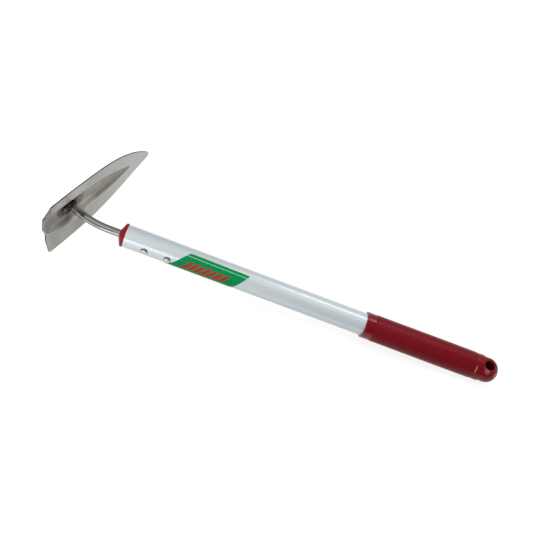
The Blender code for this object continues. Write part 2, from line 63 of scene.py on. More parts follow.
# Blade, in its own axes: X from the base edge to the tip, Y across, Z towards the handle
BLADE_LENGTH = 0.1518
BLADE_HALF_WIDTH = 0.0445
BLADE_CORNER_RADIUS = 0.0053
BLADE_TIP_LENGTH = 0.0040
BLADE_TIP_OVERSHOOT = 0.0037
BLADE_TIP_POWER = 3.0
BLADE_SIDE_POWER = 3.2
BLADE_THICKNESS = 0.0016
BLADE_EDGE_THICKNESS = 0.0010
WELD_SETBACK = 0.0400
RIM_SAG = 0.0011
SAG_START = 0.0500
SAG_END = 0.1100
TIP_CURL = 0.0025
CURL_LENGTH = 0.0318
BASE_HOLLOW = 0.0012
BASE_NOTCH = 0.0021
BASE_NOTCH_WIDTH = 0.0050
BASE_EDGE_REACH = 0.0140
PANEL_HALF_WIDTH = 0.0219
PANEL_BASE_HALF_WIDTH = 0.0179
PANEL_WIDEST_SETBACK = 0.0300
PANEL_APEX = 0.1258
PANEL_SIDE_POWER = 2.2
PANEL_FLOOR_SHARE = 0.54
PANEL_DEPTH = 0.0086
PANEL_BASE_DEPTH = 0.0091
PANEL_FLAT_START = 0.0240
PANEL_FADE_START = 0.0600
BAND_INNER_DEPTH = 0.0029
BAND_BASE_DEPTH = 0.0075
BAND_TWIST_LENGTH = 0.0400
NARROWEST_PANEL_SHARE = 0.05
GRIND_END = 0.0078
GRIND_FADE = 0.0012
GRIND_NEAREST = 0.75
GRIND_BOW = 0.45
APEX_GRIND_SETBACK = 0.0040
APEX_GRIND_FADE = 0.0020
RIDGE_WIDTH = 0.0005
RIM_WIDTH = 0.0008
FOLD_FADE_START = 0.0525
FOLD_END = 0.0700
PRESS_WAVE = 0.00018
PRESS_WAVE_SIZE = 24.0

# Weld bead
BEAD_WIDTH = 0.0030
BEAD_HEIGHT = 0.0034
BEAD_TOE = 0.0042
BEAD_GAP = 0.00005
BEAD_WIDTH_CHANGE = 0.22
BEAD_HEIGHT_CHANGE = 0.18
BEAD_RIPPLES = 9
RIPPLE_HEIGHT = 0.00035
RIPPLE_WANDER = 0.35
BEAD_GRAIN_SIZE = 1.6
BEAD_GRAIN_HEIGHT = 0.00045

# Rivets
RIVET_PLACES = (0.0240, 0.0495)
RIVET_TURN = math.radians(78.0)
RIVET_HEAD_RADIUS = 0.0039
RIVET_HEAD_HEIGHT = 0.0017
RIVET_FLANGE = 0.00035
RIVET_GAP = 0.0001
RIVET_SINK = 0.0003
RIVET_CHAMFER = 0.0001
RIVET_DOME_INSET = 0.00025
RIVET_FOOT_START = 0.0028
RIVET_FOOT_WIDTH = 0.0008
RIVET_DIRT_AND_SHADE_WIDTH = 0.0005

# Grip, as radii and places along the handle
GRIP_BORE = TUBE_RADIUS + CLEARANCE
GRIP_START_RADIUS = 0.0147
GRIP_RADIUS = 0.0149
GRIP_END_RADIUS = 0.0148
COLLAR_RADIUS = 0.0145
COLLAR_END = GRIP_FRONT + 0.0102
LIP_RADIUS = 0.0147
LIP_LENGTH = 0.0012
GRIP_EDGE = 0.0003
GROOVE_DEPTH = 0.0003
GROOVE_WIDTH = 0.0009
RING_FRONT_RADIUS = 0.0143
RING_RADIUS = 0.0148
RING_LENGTH = 0.0080
NOSE_RADIUS = 0.0138
NOSE_DOME = 0.0130
NOSE_STRAIGHT = 0.0076
NOSE_START = GRIP_END - NOSE_DOME - NOSE_STRAIGHT
RING_START = NOSE_START - RING_LENGTH
HANG_HOLE_RADIUS = 0.0054
HANG_HOLE_PLACE = GRIP_END - 0.0136
HANG_FLAT_HEIGHT = 0.0116
HANG_FLAT_START = NOSE_START + 0.0010
HANG_FLAT_SLOPE = 0.35
HANG_HOLE_MOUTH = 0.0009
HANG_HOLE_FLARE = 0.0004
SOFT_EDGE = 0.0007
GRIP_ROUNDING = 0.0004
GRIP_SWELL_START = 0.55
GRIP_SWELL_END = 0.70
NOSE_LINE_START = NOSE_START + 0.0012

# Label, wrapped round the tube. Its slopes are along the tube per way round it.
LABEL_TOP_START = 0.0708
LABEL_TOP_LENGTH = 0.0675
LABEL_FRONT_SLOPE = 0.89
LABEL_REAR_SLOPE = 0.735
LABEL_CORNER = 0.0022
LABEL_TOP_ANGLE = math.radians(-0.5)
LABEL_TOP_DROP = math.radians(5.0)
LABEL_WRAP = math.radians(128.0)
LABEL_THICKNESS = 0.00012
LABEL_RADIUS = TUBE_RADIUS + 0.0001

# Camera, fitted to the tube's edges, the hang hole and the blade's outline
CAMERA_PLACE = MOUTH + Vector((0.08781, -0.417885, 0.70963))
CAMERA_TURN = (math.radians(29.238), math.radians(-14.304), math.radians(15.554))
CAMERA_LENS = 51.87

# Floor, tilted as the hoe rests on it: on the blade's side edge and on the grip
FLOOR_RISE_X = math.radians(3.636)
FLOOR_RISE_Y = math.radians(2.467)
FLOOR_HALF_SIZE = 0.65

# Paper tunnel that the glossy pieces mirror: degrees from straight up to the back, and its tones
# there over the rod, the tube's front, the tube's rear and the grip
TUNNEL_RADIUS = 1.4
TUNNEL_COLUMNS = ((-2.5, 0), (-0.36, 0), (-0.28, 1), (0.25, 2), (0.50, 3), (2.5, 3))
TUNNEL_TONES = (
    (92.0, "#707070", "#6A6A6A", "#606060", "#707070"),
    (67.0, "#8C8C8C", "#6A6A6A", "#B8B8B8", "#B0B0B0"),
    (45.0, "#A0A0A0", "#787878", "#F0F0F0", "#F0F0F0"),
    (29.0, "#B0B0B0", "#888888", "#F0F0F0", "#FFFFFF"),
    (19.0, "#BCBCBC", "#A8A8A8", "#C8C8C8", "#D0D0D0"),
    (10.0, "#C8C8C8", "#B4B4B4", "#B8B8B8", "#303030"),
    (-4.0, "#D4D4D4", "#A4A4A4", "#BCBCBC", "#303030"),
    (-10.0, "#F8F8F8", "#9C9C9C", "#A0A0A0", "#303030"),
    (-23.0, "#FFFFFF", "#9C9C9C", "#909090", "#303030"),
    (-31.0, "#F0F0F0", "#A4A4A4", "#6C6C6C", "#404040"),
    (-40.0, "#808080", "#D0D0D0", "#585858", "#404040"),
    (-52.0, "#606060", "#F4F4F4", "#484848", "#303030"),
    (-60.0, "#989898", "#FFFFFF", "#585858", "#303030"),
    (-72.0, "#CCCCCC", "#FFFFFF", "#646464", "#404040"),
    (-84.0, "#F4F4F4", "#FFFFFF", "#909090", "#606060"),
    (-92.0, "#FFFFFF", "#FFFFFF", "#B8B8B8", "#808080"),
)

# Lamps: name, place, target, size, watts, and whether they show in gloss
LAMPS = (
    ("overhead_strip", (0.262, 0.451, 0.838), (0.12, -0.04, 0.05), (0.37, 0.06), 0.95, True),
    ("front_window", (-0.225, -1.0, 0.374), (-0.15, 0.0, 0.05), (0.11, 0.20), 0.65, True),
    ("low_window", (-0.375, -1.0, 0.080), (-0.20, 0.0, 0.05), (0.16, 0.20), 0.25, True),
    ("key_light", (0.16, -0.02, 0.97), (0.0, -0.03, 0.05), (0.50, 0.50), 4.2, False),
    ("left_fill", (-0.42, -0.35, 0.12), (-0.16, -0.04, 0.05), (0.20, 0.20), 0.7, False),
)

# Tones along the blade from its base edge: where each change starts and where it is full
PANEL_DULL_START, PANEL_DULL_END = 0.042, 0.062
NARROW_START, NARROW_END = 0.080, 0.120
BAND_SHADE_FADE_START, BAND_SHADE_FADE_END = 0.030, 0.128
BASE_CORNER_START, BASE_CORNER_END = 0.010, 0.003
RIDGE_HIGHLIGHT_START, RIDGE_HIGHLIGHT_END = 0.110, 0.060
BURR_START, BURR_END = 0.0018, 0.0008

# Tones along the rod from the tube's mouth, in the same way
HEAT_START, HEAT_END = 0.043, 0.052
ELBOW_HIGHLIGHT_START, ELBOW_HIGHLIGHT_END = 0.051, 0.058
BURN_START, BURN_END = 0.0640, 0.0665

# Print on the label: a row of bars, in shares along it, and a line. The rest is in metres round the tube
BARS_START, BARS_END = 0.16, 0.86
BAR_COUNT = 7.0
BAR_SHARE = 0.62
BAR_TOP, BAR_BOTTOM = 0.0085, 0.0190
LINE_PLACE = 0.0034
LINE_HALF_WIDTH = 0.00022

# Marks on the blade: centre and half size (m, in the blade's axes), colour, share. The black and brown
# marks round the weld come from the heat and smoke of welding. The mark beside the rod's foot on the
# panel and the darker mark under the rod on the lower band are painted shade. The others lighten or
# darken the tone in patches
PANEL_MARKS = (
    ((0.0640, -0.0150), (0.0120, 0.0100), "#ACA8A0", 0.90),
    ((0.0520, 0.0010), (0.0075, 0.0110), "#5E5744", 0.85),
    ((0.0430, -0.0240), (0.0095, 0.0085), "#B8B3AC", 0.90),
    # Painted shade beside the rod's foot
    ((0.0280, -0.0180), (0.0055, 0.0150), "#7F7B74", 0.80),
    ((0.0130, -0.0170), (0.0080, 0.0060), "#9A9690", 0.50),
    ((0.0100, -0.0010), (0.0110, 0.0090), "#6E6B67", 0.75),
    ((0.0005, -0.0185), (0.0020, 0.0020), "#2E2B28", 1.00),
    ((0.0250, 0.0020), (0.0060, 0.0100), "#3C3629", 0.90),
    ((0.0345, 0.0010), (0.0110, 0.0150), "#1E1716", 1.00),
    ((0.0455, 0.0055), (0.0060, 0.0090), "#1C1413", 1.00),
)
BAND_MARKS = (
    ((0.0330, 0.0330), (0.0240, 0.0150), "#B9B9B4", 0.90),
    # Painted shade under the rod
    ((0.0500, -0.0360), (0.0140, 0.0120), "#8C8D87", 0.70),
    ((0.0270, -0.0350), (0.0130, 0.0120), "#A5A6A0", 0.60),
)

# Painted highlights on the weld: centre in the blade's axes and radius
WELD_HIGHLIGHT_PLACES = (((0.0298, 0.0020, -0.0075), 0.0036), ((0.0350, 0.0080, -0.0065), 0.0026))

# Painted highlights on the grip: place along, turn from straight up, radius, half sizes, colour, share
GRIP_HIGHLIGHTS = (
    (RING_START + 0.0002, math.radians(-44.0), RING_FRONT_RADIUS, (0.0006, 0.0048), "#C9A0A6", 0.85),
    (GRIP_END - 0.0156, math.radians(-36.0), NOSE_RADIUS, (0.0034, 0.0040), "#A3606A", 0.75),
    (GRIP_END - 0.0046, math.radians(-46.0), 0.0102, (0.0030, 0.0036), "#A3606A", 0.80),
)


# Helpers

def linear(code):
    """An sRGB hex colour as linear values."""
    shares = [int(code[start:start + 2], 16) / 255.0 for start in (1, 3, 5)]
    values = [share / 12.92 if share <= 0.04045 else ((share + 0.055) / 1.055) ** 2.4 for share in shares]
    return (*values, 1.0)


def per_mm(millimetres):
    """A texture scale, in repeats per metre, for a pattern of that size."""
    return 1000.0 / millimetres


def fill(tree, node, inputs):
    """Set a node's inputs, by name or number, to values or to what other nodes give.

    A node stands for its first output in use. By number, a Mix has its share at 0 and its colours at
    6 and 7. A Map Range has its value at 0, its ends before at 1 and 2, and its ends after at 3 and 4."""
    for socket, value in inputs.items():
        if isinstance(value, bpy.types.Node):
            value = next(output for output in value.outputs if output.enabled)
        if isinstance(value, bpy.types.NodeSocket):
            tree.links.new(value, node.inputs[socket])
        else:
            node.inputs[socket].default_value = value


def add(tree, kind, inputs=None, **settings):
    """Add a shader node with its settings, and fill its inputs."""
    made = tree.nodes.new("ShaderNode" + kind)
    for name, value in settings.items():
        setattr(made, name, value)
    fill(tree, made, inputs or {})
    return made


def reach_from(tree, spots, centre, scale):
    """How far places lie from a centre, with each axis scaled."""
    apart = add(tree, "VectorMath", {0: spots, 1: centre}, operation="SUBTRACT")
    scaled = add(tree, "VectorMath", {0: apart, 1: scale}, operation="MULTIPLY")
    return add(tree, "VectorMath", {0: scaled}, operation="LENGTH")


def new_material(name):
    """An empty material with a Principled shader, given back with its tree."""
    material = bpy.data.materials.new(name)
    material.use_nodes = True
    tree = material.node_tree
    return material, tree, tree.nodes["Principled BSDF"]


def mix(first, second, share):
    return first + (second - first) * share


def smooth_step(value):
    value = min(max(value, 0.0), 1.0)
    return value * value * (3.0 - 2.0 * value)


def soft_min(first, second, width):
    """The smaller of two values, with a rounded change from one to the other."""
    overlap = max(width - abs(first - second), 0.0) / width
    return min(first, second) - overlap * overlap * width * 0.25


def join_loops(shape, first, second):
    """A band of faces between two closed loops of as many points."""
    for index in range(len(first)):
        after = (index + 1) % len(first)
        shape.faces.new((first[index], first[after], second[after], second[index]))


def join_rows(shape, rows):
    """A sheet of faces over rows of as many points."""
    for first, second in zip(rows, rows[1:]):
        for column in range(len(first) - 1):
            shape.faces.new((first[column], second[column], second[column + 1], first[column + 1]))


def rounded(points, cut, steps=4):
    """A line through (along, radius) points with every inner corner rounded."""
    line = [points[0]]
    for before, corner, after in zip(points, points[1:], points[2:]):
        corner = Vector(corner)
        to_before = Vector(before) - corner
        to_after = Vector(after) - corner
        first = corner + to_before.normalized() * min(cut, 0.45 * to_before.length)
        last = corner + to_after.normalized() * min(cut, 0.45 * to_after.length)
        for step in range(steps + 1):
            share = step / steps
            spot = first * (1.0 - share) ** 2 + corner * 2.0 * share * (1.0 - share) + last * share ** 2
            line.append(tuple(spot))
    line.append(points[-1])
    return line


def make_object(name, shape, place=Matrix(), sharp_degrees=35.0):
    """Turn a bmesh into an object at the origin. The place moves its mesh."""
    bmesh.ops.transform(shape, matrix=place, verts=shape.verts)
    bmesh.ops.recalc_face_normals(shape, faces=shape.faces)
    mesh = bpy.data.meshes.new(name)
    shape.to_mesh(mesh)
    shape.free()
    mesh.shade_smooth()
    mesh.set_sharp_from_angle(angle=math.radians(sharp_degrees))
    piece = bpy.data.objects.new(name, mesh)
    bpy.context.scene.collection.objects.link(piece)
    return piece


def finish_piece(piece, material, node):
    """Give a piece its material, fix it to what it moves with and hide the part it stands in for."""
    piece.data.materials.clear()
    piece.data.materials.append(material)
    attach(piece, "root")
    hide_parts(node)


# Blade

def blade_half_width(along):
    """Half width of the blade: a rounded corner, a long curved side and a blunt round tip."""
    if along < BLADE_CORNER_RADIUS:
        inset = BLADE_CORNER_RADIUS - along
        rise = math.sqrt(max(BLADE_CORNER_RADIUS ** 2 - inset ** 2, 0.0))
        return BLADE_HALF_WIDTH - BLADE_CORNER_RADIUS + rise
    reach = BLADE_LENGTH + BLADE_TIP_OVERSHOOT - BLADE_CORNER_RADIUS
    share = (along - BLADE_CORNER_RADIUS) / reach
    width = BLADE_HALF_WIDTH * (1.0 - share ** BLADE_SIDE_POWER)
    tip_share = max(along - (BLADE_LENGTH - BLADE_TIP_LENGTH), 0.0) / BLADE_TIP_LENGTH
    return width * max(1.0 - tip_share ** BLADE_TIP_POWER, 0.0) ** (1.0 / BLADE_TIP_POWER)


def panel_half_width(along):
    """Half width of the sunk panel. Past its apex the middle strip lies level with the bands."""
    if along < PANEL_WIDEST_SETBACK:
        share = smooth_step(along / PANEL_WIDEST_SETBACK)
        width = mix(PANEL_BASE_HALF_WIDTH, PANEL_HALF_WIDTH, share)
    else:
        share = min((along - PANEL_WIDEST_SETBACK) / (PANEL_APEX - PANEL_WIDEST_SETBACK), 1.0)
        width = PANEL_HALF_WIDTH * (1.0 - share ** PANEL_SIDE_POWER)
    return max(width, NARROWEST_PANEL_SHARE * blade_half_width(along))


def panel_fade(along):
    return 1.0 - smooth_step((along - PANEL_FADE_START) / (PANEL_APEX - PANEL_FADE_START))


def rim_rise(along):
    """Height of the rim over its plane: the slight sag, then the curl of the tip."""
    sag = RIM_SAG * smooth_step((along - SAG_START) / (SAG_END - SAG_START))
    curl_share = max(along - (BLADE_LENGTH - CURL_LENGTH), 0.0) / CURL_LENGTH
    return TIP_CURL * curl_share ** 2 - sag


def shifted(along, across):
    """Place along the blade, with the base edge drawn in and the rest left where it is."""
    distance = abs(across)
    hollow = BASE_HOLLOW * max(1.0 - (distance / BLADE_HALF_WIDTH) ** 2, 0.0)
    notch = BASE_NOTCH * math.exp(-((distance - PANEL_BASE_HALF_WIDTH) / BASE_NOTCH_WIDTH) ** 2)
    return along + (hollow + notch) * (1.0 - smooth_step(along / BASE_EDGE_REACH))


def band_depth(along):
    """How far the inner edge of a ground band lies below the rim."""
    share = max(1.0 - along / BAND_TWIST_LENGTH, 0.0) ** 2
    return mix(BAND_INNER_DEPTH, BAND_BASE_DEPTH, share) * panel_fade(along)


def panel_depth(along):
    """How far the floor of the panel lies below the rim."""
    share = smooth_step(along / PANEL_FLAT_START)
    return mix(PANEL_BASE_DEPTH, PANEL_DEPTH, share) * panel_fade(along)


def blade_height(along, across):
    """Height of the face towards the handle. The press left its floor a little wavy."""
    inner = panel_half_width(along)
    distance = abs(across)
    if distance >= inner:
        share = (distance - inner) / (blade_half_width(along) - inner)
        return rim_rise(along) - band_depth(along) * (1.0 - share)
    floor = inner * PANEL_FLOOR_SHARE
    wall = smooth_step((distance - floor) / (inner - floor))
    height = rim_rise(along) - mix(panel_depth(along), band_depth(along), wall)
    wave = noise.noise(Vector((along, across, 0.0)) * per_mm(PRESS_WAVE_SIZE))
    return height + PRESS_WAVE * wave * (1.0 - (distance / inner) ** 2)


def blade_thickness(along, across):
    """The sheet keeps its thickness on the panel and is ground thinner towards its outer edges."""
    inner = panel_half_width(along)
    share = (abs(across) - inner) / (blade_half_width(along) - inner)
    return mix(BLADE_THICKNESS, BLADE_EDGE_THICKNESS, max(share, 0.0))


def ground_share(along, across, on_band):
    """One on the ground bands and past the panel, nothing on the panel and the corner left unground."""
    if not on_band:
        return smooth_step((along - PANEL_APEX + APEX_GRIND_SETBACK) / APEX_GRIND_FADE)
    if across < 0.0:
        return 1.0
    inner = panel_half_width(along)
    middle = 0.5 * (inner + blade_half_width(along))
    reach = 0.5 * (blade_half_width(along) - inner)
    bow = ((across - middle) / reach) ** 2
    return smooth_step((along - GRIND_END * (GRIND_NEAREST + GRIND_BOW * bow)) / GRIND_FADE)


def blade_stations():
    """Places along the blade, closer together round its corners and its tip."""
    corner_steps, side_steps, tip_steps = 9, 132, 12
    tip_start = BLADE_LENGTH - BLADE_TIP_LENGTH
    quarter = 0.5 * math.pi
    stations = []
    for step in range(corner_steps):
        stations.append(BLADE_CORNER_RADIUS * (1.0 - math.cos(quarter * step / corner_steps)))
    for step in range(side_steps):
        stations.append(mix(BLADE_CORNER_RADIUS, tip_start, step / side_steps))
    for step in range(tip_steps):
        stations.append(tip_start + BLADE_TIP_LENGTH * math.sin(quarter * step / tip_steps))
    return stations


def blade_columns(along):
    """Places across the blade, each with whether it is on a band and its painted light there.

    The painted light is 1 on the ridges, a painted highlight, and -1 on two lines of painted shade: the
    fold at the foot of the lower ridge and the rim of the upper band."""
    floor_steps, wall_steps, band_steps = 7, 9, 8
    outer = blade_half_width(along)
    inner = panel_half_width(along)
    floor = inner * PANEL_FLOOR_SHARE
    ridge = min(RIDGE_WIDTH, 0.15 * (outer - inner), 0.1 * inner)
    rim = min(RIM_WIDTH, 0.2 * (outer - inner))
    fold = 1.0 - smooth_step((along - FOLD_FADE_START) / (FOLD_END - FOLD_FADE_START))
    half = [(floor * step / floor_steps, False, 0.0, 0.0) for step in range(1, floor_steps + 1)]
    for step in range(1, wall_steps):
        half.append((mix(floor, inner - ridge, step / wall_steps), False, 0.0, 0.0))
    half.append((inner - ridge, False, 0.0, -fold))
    half.append((inner, False, 1.0, 1.0))
    half.append((inner + 0.4 * ridge, True, 1.0, 1.0))
    for step in range(band_steps + 1):
        half.append((mix(inner + 1.6 * ridge, outer - rim, step / band_steps), True, 0.0, 0.0))
    half.append((outer, True, -1.0, 0.0))
    upper_half = [(across, band, painted_light) for across, band, painted_light, _ in half]
    lower_half = [(-across, band, painted_light) for across, band, _, painted_light in reversed(half)]
    return lower_half + [(0.0, False, 0.0)] + upper_half


def make_blade():
    """The pressed sheet, finer than the solid: wall, ridge, band and cut edge have their own lines."""
    shape = bmesh.new()
    sheet = shape.verts.layers.float_vector.new("sheet")
    ground = shape.verts.layers.float.new("ground")
    painted_light = shape.verts.layers.float.new("painted_light")
    under = shape.verts.layers.float.new("under")
    upper_rows, lower_rows = [], []
    for along in blade_stations():
        upper, lower = [], []
        for across, band, with_painted_light in blade_columns(along):
            height = blade_height(along, across)
            for row, drop, side in ((upper, 0.0, 0.0), (lower, blade_thickness(along, across), 1.0)):
                made = shape.verts.new((shifted(along, across), across, height - drop))
                made[sheet] = (along, across, height)
                made[ground] = ground_share(along, across, band)
                made[painted_light] = with_painted_light * (1.0 - side)
                made[under] = side
                row.append(made)
        upper_rows.append(upper)
        lower_rows.append(lower)
    loops = []
    for rows, drop, side in ((upper_rows, 0.0, 0.0), (lower_rows, BLADE_EDGE_THICKNESS, 1.0)):
        tip = shape.verts.new((BLADE_LENGTH, 0.0, rim_rise(BLADE_LENGTH) - drop))
        tip[sheet] = (BLADE_LENGTH, 0.0, rim_rise(BLADE_LENGTH))
        tip[ground] = 1.0
        tip[under] = side
        join_rows(shape, rows)
        last = rows[-1]
        for column in range(len(last) - 1):
            shape.faces.new((last[column], tip, last[column + 1]))
        one_side = [row[0] for row in rows]
        other_side = [row[-1] for row in reversed(rows)]
        loops.append(one_side + [tip] + other_side + list(reversed(rows[0][1:-1])))
    join_loops(shape, loops[0], loops[1])
    return make_object("blade_sheet", shape, blade_axes(), 25.0)


def neck_path():
    """Centre points, headings and lengths of the rod, from inside the cap to its foot."""
    bend_steps, foot_steps = 48, 8
    mouth_heading = Vector((-1.0, 0.0, 0.0))
    points = [(MOUTH - mouth_heading * ROD_IN_CAP, 0.0, -ROD_IN_CAP)]
    for share in (0.0, 0.5, 1.0):
        points.append((MOUTH + mouth_heading * NECK_STRAIGHT * share, 0.0, NECK_STRAIGHT * share))
    centre = MOUTH + Vector((-NECK_STRAIGHT, NECK_BEND_RADIUS, 0.0))
    for step in range(1, bend_steps + 1):
        angle = NECK_BEND_ANGLE * step / bend_steps
        spoke = Vector((-math.sin(angle), -math.cos(angle), 0.0))
        points.append((centre + spoke * NECK_BEND_RADIUS, angle, NECK_STRAIGHT + NECK_BEND_RADIUS * angle))
    start, angle, length = points[-1]
    heading = Vector((-math.cos(angle), math.sin(angle), 0.0))
    for step in range(1, foot_steps + 1):
        way = FOOT_STRAIGHT * step / foot_steps
        points.append((start + heading * way, angle, length + way))
    return points


def blade_axes():
    """Where the blade's own axes lie, as a matrix."""
    tip_way = Vector((math.sin(NECK_BEND_ANGLE), math.cos(NECK_BEND_ANGLE), 0.0))
    handle_way = Vector((math.cos(NECK_BEND_ANGLE), -math.sin(NECK_BEND_ANGLE), 0.0))
    foot = neck_path()[-1][0] + handle_way * (PANEL_DEPTH - CLEARANCE)
    place = Matrix.Translation(foot - tip_way * WELD_SETBACK)
    turn = Matrix((tip_way, (0.0, 0.0, 1.0), handle_way)).transposed().to_4x4()
    return place @ turn


# Rod and weld

def make_neck_bar():
    """The round bar. Its "bar" layer holds each point's place as if the bar were straight."""
    sides = 64
    shape = bmesh.new()
    bar = shape.verts.layers.float_vector.new("bar")
    rings = []
    for centre, heading, length in neck_path():
        across = Vector((math.sin(heading), math.cos(heading), 0.0))
        ring = []
        for side in range(sides):
            angle = 2.0 * math.pi * side / sides
            spoke = across * math.cos(angle) + Vector((0.0, 0.0, math.sin(angle)))
            made = shape.verts.new(centre + spoke * ROD_RADIUS)
            made[bar] = (length, ROD_RADIUS * math.cos(angle), ROD_RADIUS * math.sin(angle))
            ring.append(made)
        rings.append(ring)
    for first, second in zip(rings, rings[1:]):
        join_loops(shape, first, second)
    shape.faces.new(rings[0])
    shape.faces.new(list(reversed(rings[-1])))
    return make_object("neck_bar", shape)


def make_weld():
    """A bead laid in overlapping ripples round the rod's foot, longer towards the base edge."""
    turns, arcs = 200, 12
    inner = ROD_RADIUS + BEAD_GAP
    shape = bmesh.new()
    sections = []
    for step in range(turns):
        turn = 2.0 * math.pi * step / turns
        towards_base = max(-math.cos(turn), 0.0)
        lump = noise.noise(Vector((2.0 * math.cos(turn), 2.0 * math.sin(turn), 3.1)))
        width = (BEAD_WIDTH + BEAD_TOE * towards_base ** 2) * (1.0 + BEAD_WIDTH_CHANGE * lump)
        height_top = BEAD_HEIGHT * (1.0 + BEAD_HEIGHT_CHANGE * lump)
        phase = (step * BEAD_RIPPLES / turns + RIPPLE_WANDER * lump) % 1.0
        ripple = RIPPLE_HEIGHT * (1.0 - phase) * phase * 4.0
        section = [shape.verts.new((inner * math.cos(turn), inner * math.sin(turn), 0.0))]
        for arc in range(arcs + 1):
            angle = 0.5 * math.pi * arc / arcs
            radius = inner + (width + ripple - RIPPLE_HEIGHT) * math.cos(angle)
            height = (height_top + ripple - RIPPLE_HEIGHT) * math.sin(angle) ** 0.8
            spot = Vector((radius * math.cos(turn), radius * math.sin(turn), height))
            rough = noise.noise(spot * per_mm(BEAD_GRAIN_SIZE)) * BEAD_GRAIN_HEIGHT * math.cos(0.9 * angle)
            section.append(shape.verts.new(spot + Vector((0.0, 0.0, rough if arc else 0.0))))
        sections.append(section)
    for index, section in enumerate(sections):
        join_loops(shape, section, sections[(index + 1) % turns])
    seat = Matrix.Translation((WELD_SETBACK, 0.0, BEAD_GAP - PANEL_DEPTH))
    return make_object("weld_ripples", shape, blade_axes() @ seat, 60.0)


# Handle

def turn_profile(shape, profile, sides, reshape=None):
    """Rings of points round the X axis for each (along, radius) of a profile."""
    rings = []
    for along, radius in profile:
        ring = []
        for side in range(sides):
            angle = 2.0 * math.pi * side / sides
            reach = reshape(along, radius, angle) if reshape else radius
            ring.append(shape.verts.new((along, reach * math.sin(angle), reach * math.cos(angle))))
        rings.append(ring)
    for first, second in zip(rings, rings[1:]):
        join_loops(shape, first, second)
    return rings


def rivet_direction():
    return Vector((0.0, -math.sin(RIVET_TURN), math.cos(RIVET_TURN)))


def make_rivet(name, place):
    """Two domed heads with a thin flange, one on each side of the tube."""
    seat = TUBE_RADIUS - RIVET_SINK
    flange_top = TUBE_RADIUS + RIVET_GAP + RIVET_FLANGE
    top = TUBE_RADIUS + RIVET_GAP + RIVET_HEAD_HEIGHT
    dome_steps = 10
    shape = bmesh.new()
    foot = shape.verts.layers.float.new("foot")
    for side in (1.0, -1.0):
        profile = [(seat, RIVET_HEAD_RADIUS), (flange_top - RIVET_CHAMFER, RIVET_HEAD_RADIUS)]
        profile.append((flange_top, RIVET_HEAD_RADIUS - RIVET_CHAMFER))
        for step in range(dome_steps):
            angle = 0.5 * math.pi * step / dome_steps
            height = flange_top + (top - flange_top) * math.sin(angle)
            profile.append((height, (RIVET_HEAD_RADIUS - RIVET_DOME_INSET) * math.cos(angle)))
        rings = turn_profile(shape, [(side * along, radius) for along, radius in profile], 40)
        for ring, (along, radius) in zip(rings, profile):
            for vert in ring:
                vert[foot] = smooth_step((radius - RIVET_FOOT_START) / RIVET_FOOT_WIDTH)
        shape.faces.new(rings[-1])
        shape.faces.new(rings[0])
    turn = Vector((1.0, 0.0, 0.0)).rotation_difference(rivet_direction()).to_matrix().to_4x4()
    return make_object(name, shape, Matrix.Translation(MOUTH + Vector((place, 0.0, 0.0))) @ turn, 40.0)


def flat_limit(along, radius, angle):
    """The nose is milled flat on two sides; this keeps its radius within the flats."""
    height = HANG_FLAT_HEIGHT + max(HANG_FLAT_START - along, 0.0) / HANG_FLAT_SLOPE
    lean = abs(math.cos(angle))
    if lean < 0.3:
        return radius
    return soft_min(radius, height / lean, SOFT_EDGE)


def make_grip():
    """The moulding: lip, glossy collar, matt body, glossy ring and nose with flats and hole."""
    swell_start = mix(GRIP_FRONT, GRIP_END, GRIP_SWELL_START)
    swell_end = mix(GRIP_FRONT, GRIP_END, GRIP_SWELL_END)
    bore_end = TUBE_LENGTH + CLEARANCE
    corners = [
        (bore_end, GRIP_BORE),
        (GRIP_FRONT, GRIP_BORE),
        (GRIP_FRONT, LIP_RADIUS),
        (GRIP_FRONT + LIP_LENGTH, LIP_RADIUS),
        (GRIP_FRONT + LIP_LENGTH + GRIP_EDGE, COLLAR_RADIUS),
        (COLLAR_END, COLLAR_RADIUS),
        (COLLAR_END + 0.5 * GROOVE_WIDTH, COLLAR_RADIUS - GROOVE_DEPTH),
        (COLLAR_END + GROOVE_WIDTH, GRIP_START_RADIUS),
        (swell_start, GRIP_RADIUS),
        (swell_end, GRIP_RADIUS),
        (RING_START - GROOVE_WIDTH, GRIP_END_RADIUS),
        (RING_START - 0.5 * GROOVE_WIDTH, RING_FRONT_RADIUS - GROOVE_DEPTH),
        (RING_START, RING_FRONT_RADIUS),
        (NOSE_START - GRIP_EDGE, RING_RADIUS),
        (NOSE_START, NOSE_RADIUS),
        (NOSE_LINE_START, NOSE_RADIUS),
    ]
    profile = rounded(corners, GRIP_ROUNDING)
    straight_steps, dome_steps = 18, 26
    straight_end = GRIP_END - NOSE_DOME
    for step in range(1, straight_steps):
        profile.append((mix(NOSE_LINE_START, straight_end, step / straight_steps), NOSE_RADIUS))
    for step in range(dome_steps):
        angle = 0.5 * math.pi * step / dome_steps
        profile.append((GRIP_END - NOSE_DOME * (1.0 - math.sin(angle)), NOSE_RADIUS * math.cos(angle)))
    shape = bmesh.new()
    rings = turn_profile(shape, profile, 128, flat_limit)
    tip = shape.verts.new((GRIP_END, 0.0, 0.0))
    last = rings[-1]
    for index in range(len(last)):
        shape.faces.new((last[index], last[(index + 1) % len(last)], tip))
    shape.faces.new(rings[0])
    grip = make_object("grip_moulding", shape, Matrix.Translation(MOUTH))
    cut_hang_hole(grip)
    return grip


